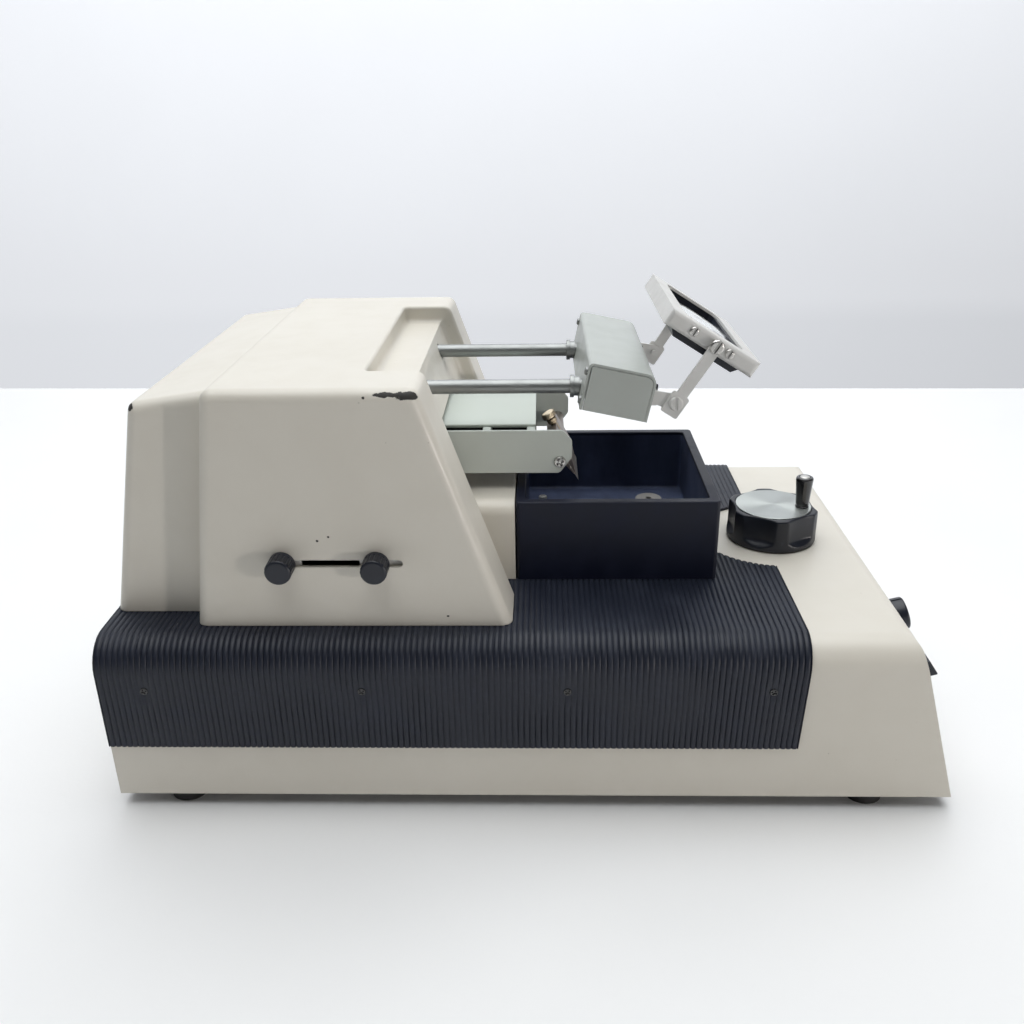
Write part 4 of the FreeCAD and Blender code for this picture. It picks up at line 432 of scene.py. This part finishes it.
HEAD_RINGS, HEAD_SEGMENTS = 22, 72
HEAD_DOME, HEAD_SHOULDER, HEAD_DROP = 0.28, 0.86, 0.5
SLOT_DEPTH, SLOT_SIDE_EASE, SLOT_END_EASE = 0.6, 0.05, 0.08


def slot_depth(across, along, width, length):
    """How deep one slot is at a place on a head, from 0 outside it to 1 on its floor."""
    inside = min(1.0, max(0.0, (width - abs(across)) / SLOT_SIDE_EASE))
    return inside * min(1.0, max(0.0, (length - abs(along)) / SLOT_END_EASE))


def head_shell(centre, axis, radius, height, turn, slots=2, width=0.19, length=0.66):
    """A pan screw head, domed and cut with one straight slot or a cross recess.

    The slot's half width and half length are shares of the head's radius."""
    place = placed_on(centre, axis)
    angles = [2 * math.pi * step / HEAD_SEGMENTS for step in range(HEAD_SEGMENTS)]
    points = [place @ Vector((0, 0, height * (1 - SLOT_DEPTH)))]
    for ring in range(1, HEAD_RINGS + 1):
        share = ring / HEAD_RINGS
        shoulder = max(0.0, share - HEAD_SHOULDER) / (1 - HEAD_SHOULDER) * share
        dome = height * (1 - HEAD_DOME * share ** 2 - HEAD_DROP * shoulder)
        for angle in angles:
            across, along = share * math.cos(angle - turn), share * math.sin(angle - turn)
            arms = [(across, along), (along, across)][:slots]
            cut = max(slot_depth(*arm, width, length) for arm in arms)
            up = dome - SLOT_DEPTH * height * cut
            out = radius * share
            points.append(place @ Vector((out * math.cos(angle), out * math.sin(angle), up)))
    for angle in angles:
        points.append(place @ Vector((radius * math.cos(angle), radius * math.sin(angle), 0.0)))
    faces = [(0, 1 + step, 1 + (step + 1) % HEAD_SEGMENTS) for step in range(HEAD_SEGMENTS)]
    for ring in range(HEAD_RINGS):
        for step in range(HEAD_SEGMENTS):
            after = (step + 1) % HEAD_SEGMENTS
            inner, outer = 1 + ring * HEAD_SEGMENTS, 1 + (ring + 1) * HEAD_SEGMENTS
            faces.append((inner + step, outer + step, outer + after, inner + after))
    faces.append(tuple(range(len(points) - HEAD_SEGMENTS, len(points)))[::-1])
    return points, faces


def joined(name, shells, slot, body, replaced=(), finish=None):
    """Makes one piece from several shells given in millimetres."""
    points, faces = [], []
    for shell_points, shell_faces in shells:
        first = len(points)
        points += [Vector(p) * MM for p in shell_points]
        faces += [tuple(first + i for i in face) for face in shell_faces]
    piece(name, points, faces, slot, body, replaced, finish)


# ---------------------------------------------------------------- the ribbed mat

# Sizes in millimetres.
RIB_PITCH = 3.1
RIB_HEIGHT = 1.15
STEPS_PER_RIB = 10
MAT_REAR, MAT_FRONT = -230.0, 146.3
MAT_FOOT_FRONT = 143.3
MAT_TOP, MAT_BOTTOM = 104.8, 41.0
MAT_OUTER, MAT_BEND = 138.0, 18.0
MAT_THICKNESS = 2.0
RING_CENTRE, RING_RADIUS = 152.4, 46.5
RING_LEAST = 4.0
SIDE_ROWS, BEND_ROWS, TOP_ROWS = 12, 8, 14
SIDE_SCREW_PLACES, SIDE_SCREW_HEIGHT = (-205.0, -88.7, 20.0, 127.5), 76.5
DIMPLE_RADIUS, DIMPLE_DEPTH = 6.5, 1.5
LEAN_START = 60.0
WAVE, UNEVEN = 0.30, 0.22


def rib_depth(along):
    """How far the surface drops below the rib tops at a place along the object."""
    share = (along / RIB_PITCH) % 1.0
    round_part = math.sqrt(max(0.0, 1 - (2 * share - 1) ** 2))
    return RIB_HEIGHT * (1 - round_part ** 0.8)


def mat_column(x, side):
    """Points up one side and over the top at one place along the object, as (y, z, outward y, outward z)."""
    ring = RING_RADIUS ** 2 - (x - RING_CENTRE) ** 2
    inner = max(RING_LEAST, math.sqrt(ring)) if ring > 0 else RING_LEAST
    straight = MAT_TOP - MAT_BEND
    line = [(MAT_OUTER, MAT_BOTTOM + (straight - MAT_BOTTOM) * i / SIDE_ROWS, 1.0, 0.0)
            for i in range(SIDE_ROWS + 1)]
    for i in range(1, BEND_ROWS + 1):
        angle = math.pi / 2 * i / BEND_ROWS
        line.append((MAT_OUTER - MAT_BEND + MAT_BEND * math.cos(angle),
                     straight + MAT_BEND * math.sin(angle), math.cos(angle), math.sin(angle)))
    flat = MAT_OUTER - MAT_BEND
    line += [(flat + (inner - flat) * i / TOP_ROWS, MAT_TOP, 0.0, 1.0) for i in range(1, TOP_ROWS + 1)]
    return [(side * y, z, side * across, up) for y, z, across, up in line]


def dimple_depth(place, z):
    """How far the mat is pressed in round its fixing screws."""
    gap = min(math.hypot(place - x, z - SIDE_SCREW_HEIGHT) for x in SIDE_SCREW_PLACES)
    if gap >= DIMPLE_RADIUS:
        return 0.0
    return DIMPLE_DEPTH * (0.5 + 0.5 * math.cos(math.pi * gap / DIMPLE_RADIUS))


def mat_points(side):
    """The mat's outer surface on one side, with its cut edges turned in."""
    steps = int((MAT_FRONT - MAT_REAR) / RIB_PITCH * STEPS_PER_RIB)
    places = [MAT_REAR + (MAT_FRONT - MAT_REAR) * i / steps for i in range(steps + 1)]
    rows = []
    for i, place in enumerate([places[0], *places, places[-1]]):
        edge_row = i in (0, len(places) + 1)
        row = []
        column = mat_column(place, side)
        for j, (y, z, across, up) in enumerate([column[0], *column, column[-1]]):
            edge = edge_row or j in (0, len(column) + 1)
            lean = (MAT_FRONT - MAT_FOOT_FRONT) * (MAT_TOP - z) / (MAT_TOP - MAT_BOTTOM)
            lean *= max(0.0, (place - LEAN_START) / (MAT_FRONT - LEAN_START))
            wave = WAVE * noise.noise(Vector((place * 0.02, y * 0.012 + side, z * 0.03)))
            uneven = 1 + UNEVEN * noise.noise(Vector((place * 0.35, y * 0.05, z * 0.06)))
            drop = rib_depth(place + wave * (not edge_row)) * uneven
            if z < MAT_TOP - MAT_BEND:
                drop = max(drop, dimple_depth(place, z))
            drop = MAT_THICKNESS if edge else min(drop, MAT_THICKNESS - 0.1)
            row.append((place - lean, y - across * drop, z - up * drop))
        rows.append(row)
    return rows


def make_mat():
    points, faces = [], []
    for side in (-1, 1):
        rows = mat_points(side)
        first = len(points)
        columns = len(rows[0])
        points += [Vector(p) * MM for row in rows for p in row]
        for face in grid_faces(len(rows), columns):
            shifted = tuple(first + i for i in face)
            faces.append(shifted if side > 0 else shifted[::-1])
    piece("mat_ribs", points, faces, "mat_rubber", "housing", ("ribbed_mat",))


make_mat()


# ---------------------------------------------------------------- screws

UP, DOWN = (0, 0, 1), (0, 0, -1)
SIDE_SCREWS = [(x, side * 136.6, SIDE_SCREW_HEIGHT) for x in SIDE_SCREW_PLACES for side in (-1, 1)]
BATH_SCREWS = [(7.6, y, 113.0) for y in (-39.4, 39.4)]
FOOT_SCREWS = [(x, y, 3.5) for x in (-195.5, 186.5) for y in (-122.0, 122.0)]
PIVOTS = [(17.4, side * 43.5, 170.2) for side in (-1, 1)]


def sideways(place):
    """The direction straight out of the side that a place is on."""
    return (0, math.copysign(1, place[1]), 0)


side_heads = [head_shell(place, sideways(place), 2.3, 1.1, 0.4 + 0.9 * i)
              for i, place in enumerate(SIDE_SCREWS)]
joined("mat_screw_heads", side_heads, "gloss_black", "housing", ("case_screws",))
bath_heads = [head_shell(place, UP, 2.9, 2.1, 0.5 + 0.7 * i) for i, place in enumerate(BATH_SCREWS)]
foot_heads = [head_shell(place, DOWN, 3.6, 2.2, 0.3 * i) for i, place in enumerate(FOOT_SCREWS)]
joined("bath_screw_heads", bath_heads + foot_heads, "bright_steel", "housing", ("case_screws",), "aluminium")


# ---------------------------------------------------------------- handwheel and crank

WHEEL = (152.4, 0.0, 103.6)
WHEEL_RADIUS, WHEEL_HEIGHT, DISC_RADIUS = 27.5, 20.9, 23.2
SCALLOPS, SCALLOP_TURN = 6, 0.7
SCALLOP_DEPTH, SCALLOP_RADIUS = 3.3, 44.0
SCALLOP_START, SCALLOP_RISE = 0.09, 0.22
SCALLOP_FOOT_SHARE = 0.86
CRANK = (169.2, -4.5, 125.0)


def scalloped(angle, radius, height):
    """Flattens the skirt in six places, less and less towards its foot."""
    if radius < DISC_RADIUS + 0.3:
        return radius
    up = height / WHEEL_HEIGHT
    share = min(1.0, max(0.0, (up - SCALLOP_START) / SCALLOP_RISE))
    eased = share * share * (3 - 2 * share)
    depth = SCALLOP_DEPTH * eased * (SCALLOP_FOOT_SHARE + (1 - SCALLOP_FOOT_SHARE) * up)
    inset = WHEEL_RADIUS - radius
    period = 2 * math.pi / SCALLOPS
    offset = (angle - math.radians(SCALLOP_TURN) + period / 2) % period - period / 2
    distance = WHEEL_RADIUS + SCALLOP_RADIUS - depth
    across = distance * math.sin(offset)
    hollow = distance * math.cos(offset) - math.sqrt(SCALLOP_RADIUS ** 2 - across ** 2)
    return min(radius, hollow - inset * 0.6)


skirt_profile = [(19.0, 0.0), (26.4, 0.0), (27.2, 0.25), (27.5, 0.9)]
skirt_profile += [(27.5, 0.9 + (19.6 - 0.9) * i / 24) for i in range(1, 25)]
skirt_profile += [(27.4, 20.1), (27.1, 20.55), (26.6, 20.85), (25.8, 20.95), (24.4, 20.9), (23.7, 20.75),
                  (23.4, 20.4), (23.25, 19.7), (22.8, 19.6)]
joined("handwheel_grip", [turned_shell(WHEEL, UP, skirt_profile, 288, scalloped)],
       "black_plastic", "handwheel", ("handwheel_skirt",))

crank_profile = [(2.2, 0.0), (3.9, 0.0), (4.1, 0.25), (4.1, 0.9), (3.75, 1.15), (3.75, 1.5)]
crank_profile += [(4.1 + 1.2 * (i / 14) ** 1.15, 2.0 + 16.4 * i / 14) for i in range(15)]
crank_profile += [(5.27, 18.9), (5.1, 19.35), (4.75, 19.7), (4.2, 19.88), (3.5, 19.9), (3.3, 19.7),
                  (3.2, 19.1), (0.3, 19.05)]
joined("crank_grip", [turned_shell(CRANK, UP, crank_profile, 72)], "gloss_black", "crank", ("crank_handle",))

stud_profile = [(2.0, 18.6), (3.05, 18.6), (3.05, 19.75), (2.9, 19.98), (2.5, 20.15), (1.8, 20.28),
                (1.0, 20.35), (0.2, 20.38)]
joined("crank_stud_end", [turned_shell(CRANK, UP, stud_profile, 64)],
       "bright_steel", "crank", ("crank_handle",), "screw_steel")


# ---------------------------------------------------------------- blade clamp screw and pivots

HOLDER_TURN = math.radians(60.6)
HOLDER_PIVOT = (17.4, 0.0, 170.2)
KNURLS, KNURL_PITCH, KNURL_DEPTH = 44, 2.0, 0.32
HEAD_CORE, COLLAR_INNER, COLLAR_OUTER = 4.2, 2.9, 3.2


def holder_point(along, out):
    """A point on the blade holder's middle line, in millimetres down its slope and out of its face."""
    x, y, z = HOLDER_PIVOT
    return (x + along * math.cos(HOLDER_TURN) + out * math.sin(HOLDER_TURN), y,
            z - along * math.sin(HOLDER_TURN) + out * math.cos(HOLDER_TURN))


def knurled(angle, radius, height):
    """Pyramid knurling on the head and its collar."""
    if radius > HEAD_CORE or COLLAR_INNER < radius < COLLAR_OUTER:
        around, up = angle * KNURLS / (2 * math.pi), height / KNURL_PITCH
        ridge = abs((around + up) % 1 - 0.5)
        cross = abs((around - up) % 1 - 0.5)
        return radius - KNURL_DEPTH * (1 - ridge - cross)
    return radius


UPHILL = (-math.cos(HOLDER_TURN), 0.0, math.sin(HOLDER_TURN))
thumb_profile = [(2.0, -6.4), (2.0, 0.0), (2.7, 0.02), (3.0, 0.4)]
thumb_profile += [(3.05, 0.4 + 0.3 * i) for i in range(1, 9)]
thumb_profile += [(2.5, 3.1), (2.4, 3.7), (3.9, 3.75), (4.3, 4.1)]
thumb_profile += [(4.35, 4.1 + 0.3 * i) for i in range(1, 10)]
thumb_profile += [(4.0, 7.1), (3.7, 7.15)]
thumb_turned = turned_shell(holder_point(-10.0, 1.7), UPHILL, thumb_profile, 264, knurled)
thumb_slot = head_shell(holder_point(-17.1, 1.7), UPHILL, 3.8, 0.5, 0.5, slots=1, width=0.16, length=1.2)
joined("clamp_thumb_screw", [thumb_turned, thumb_slot], "brass", "clamp_screw", ("thumb_screw",))

pivot_heads = [head_shell(place, sideways(place), 3.5, 1.7, 0.5) for place in PIVOTS]
pivot_shanks = [turned_shell(place, sideways(place), [(2.0, -7.6), (2.0, 0.0)], 32) for place in PIVOTS]
joined("pivot_screw_heads", pivot_heads + pivot_shanks, "bright_steel", "arm", ("pivot_screws",),
       "screw_steel")


# ---------------------------------------------------------------- stage, light and camera

TABLE_EDGE_LEFT, TABLE_EDGE_RIGHT = 0.800, 0.578
WALL_PLACE = 1.6
WORLD_TINT, WORLD_STRENGTH = (0.93, 0.95, 1.0, 1.0), 0.04
CAMERA_LENS, CAMERA_SENSOR = 34.27, 36.0
CAMERA_NEAR, CAMERA_FAR = 0.01, 20.0
CAMERA_RIGHT = (0.99952, 0.02655, -0.01596)
CAMERA_UP = (0.00405, 0.39882, 0.91703)
CAMERA_AHEAD = (-0.03072, 0.91665, -0.39852)
CAMERA_PLACE = (0.00692, -0.5690, 0.3674)


def stage_finish(name, colour, rough, glow=0.0):
    """Matt paper or board. A glow lights the wall evenly, a little less towards the right."""
    f = Finish(name)
    cloud = f.spread(f.noise(3.0, 4.0), 0.3, 0.7)
    shade = tuple(c * 0.97 for c in colour[:3]) + (1.0,)
    across = f.node("ShaderNodeSeparateXYZ", {"Vector": f.place}).outputs["X"]
    glow_here = f.spread(across, -1.2, 1.6, glow, glow * 0.8)
    return f.done(Base_Color=f.mix(cloud, colour, shade), Roughness=rough, Emission_Color=colour,
                  Emission_Strength=glow_here, Normal=f.bump(f.noise(400, 2.0), 0.05 * MM))


def sheet(name, corners, material):
    """One flat sheet of the stage, from four corners in metres."""
    data = bpy.data.meshes.new(name)
    data.from_pydata(corners, [], [(0, 1, 2, 3)])
    made = bpy.data.objects.new(name, data)
    bpy.context.scene.collection.objects.link(made)
    data.materials.append(material)


sheet("floor", [(-4, -3, 0), (4, -3, 0), (4, TABLE_EDGE_RIGHT, 0), (-4, TABLE_EDGE_LEFT, 0)],
      stage_finish("floor", tone(240, 240, 240), 0.5))
sheet("backdrop", [(-6, WALL_PLACE, -1.6), (6, WALL_PLACE, -1.6), (6, WALL_PLACE, 3), (-6, WALL_PLACE, 3)],
      stage_finish("backdrop", tone(206, 208, 212), 0.9, 0.88))


def soft_light(name, place, target, width, height, power, colour):
    """A soft rectangular light at a place, aimed at a target, in metres and watts."""
    lamp = bpy.data.lights.new(name, "AREA")
    lamp.shape = "RECTANGLE"
    lamp.size, lamp.size_y = width, height
    lamp.energy = power
    lamp.color = colour
    made = bpy.data.objects.new(name, lamp)
    made.location = place
    made.rotation_euler = (Vector(target) - Vector(place)).to_track_quat("-Z", "Y").to_euler()
    bpy.context.scene.collection.objects.link(made)


soft_light("side", (1.62, -1.18, 0.18), (0.0, 0.0, 0.12), 0.1, 0.1, 8.0, (1.0, 0.95, 0.91))
soft_light("top", (-0.05, 0.05, 2.15), (0.0, 0.0, 0.1), 2.6, 2.2, 58, (0.97, 0.99, 1.0))
soft_light("wall", (0.0, 0.75, 1.3), (-0.3, 1.6, 0.45), 3.4, 0.4, 5, (0.97, 0.98, 1.0))

world = bpy.data.worlds.new("studio")
bpy.context.scene.world = world
world.use_nodes = True
background = world.node_tree.nodes["Background"].inputs
background["Color"].default_value = WORLD_TINT
background["Strength"].default_value = WORLD_STRENGTH

camera_data = bpy.data.cameras.new("camera")
camera_data.lens = CAMERA_LENS
camera_data.sensor_width = CAMERA_SENSOR
camera_data.clip_start = CAMERA_NEAR
camera_data.clip_end = CAMERA_FAR
camera = bpy.data.objects.new("camera", camera_data)
bpy.context.scene.collection.objects.link(camera)
turned = Matrix((CAMERA_RIGHT, CAMERA_UP, [-c for c in CAMERA_AHEAD])).transposed().to_4x4()
camera.matrix_world = Matrix.Translation(CAMERA_PLACE) @ turned
bpy.context.scene.camera = camera
bpy.context.scene.view_settings.view_transform = "Standard"
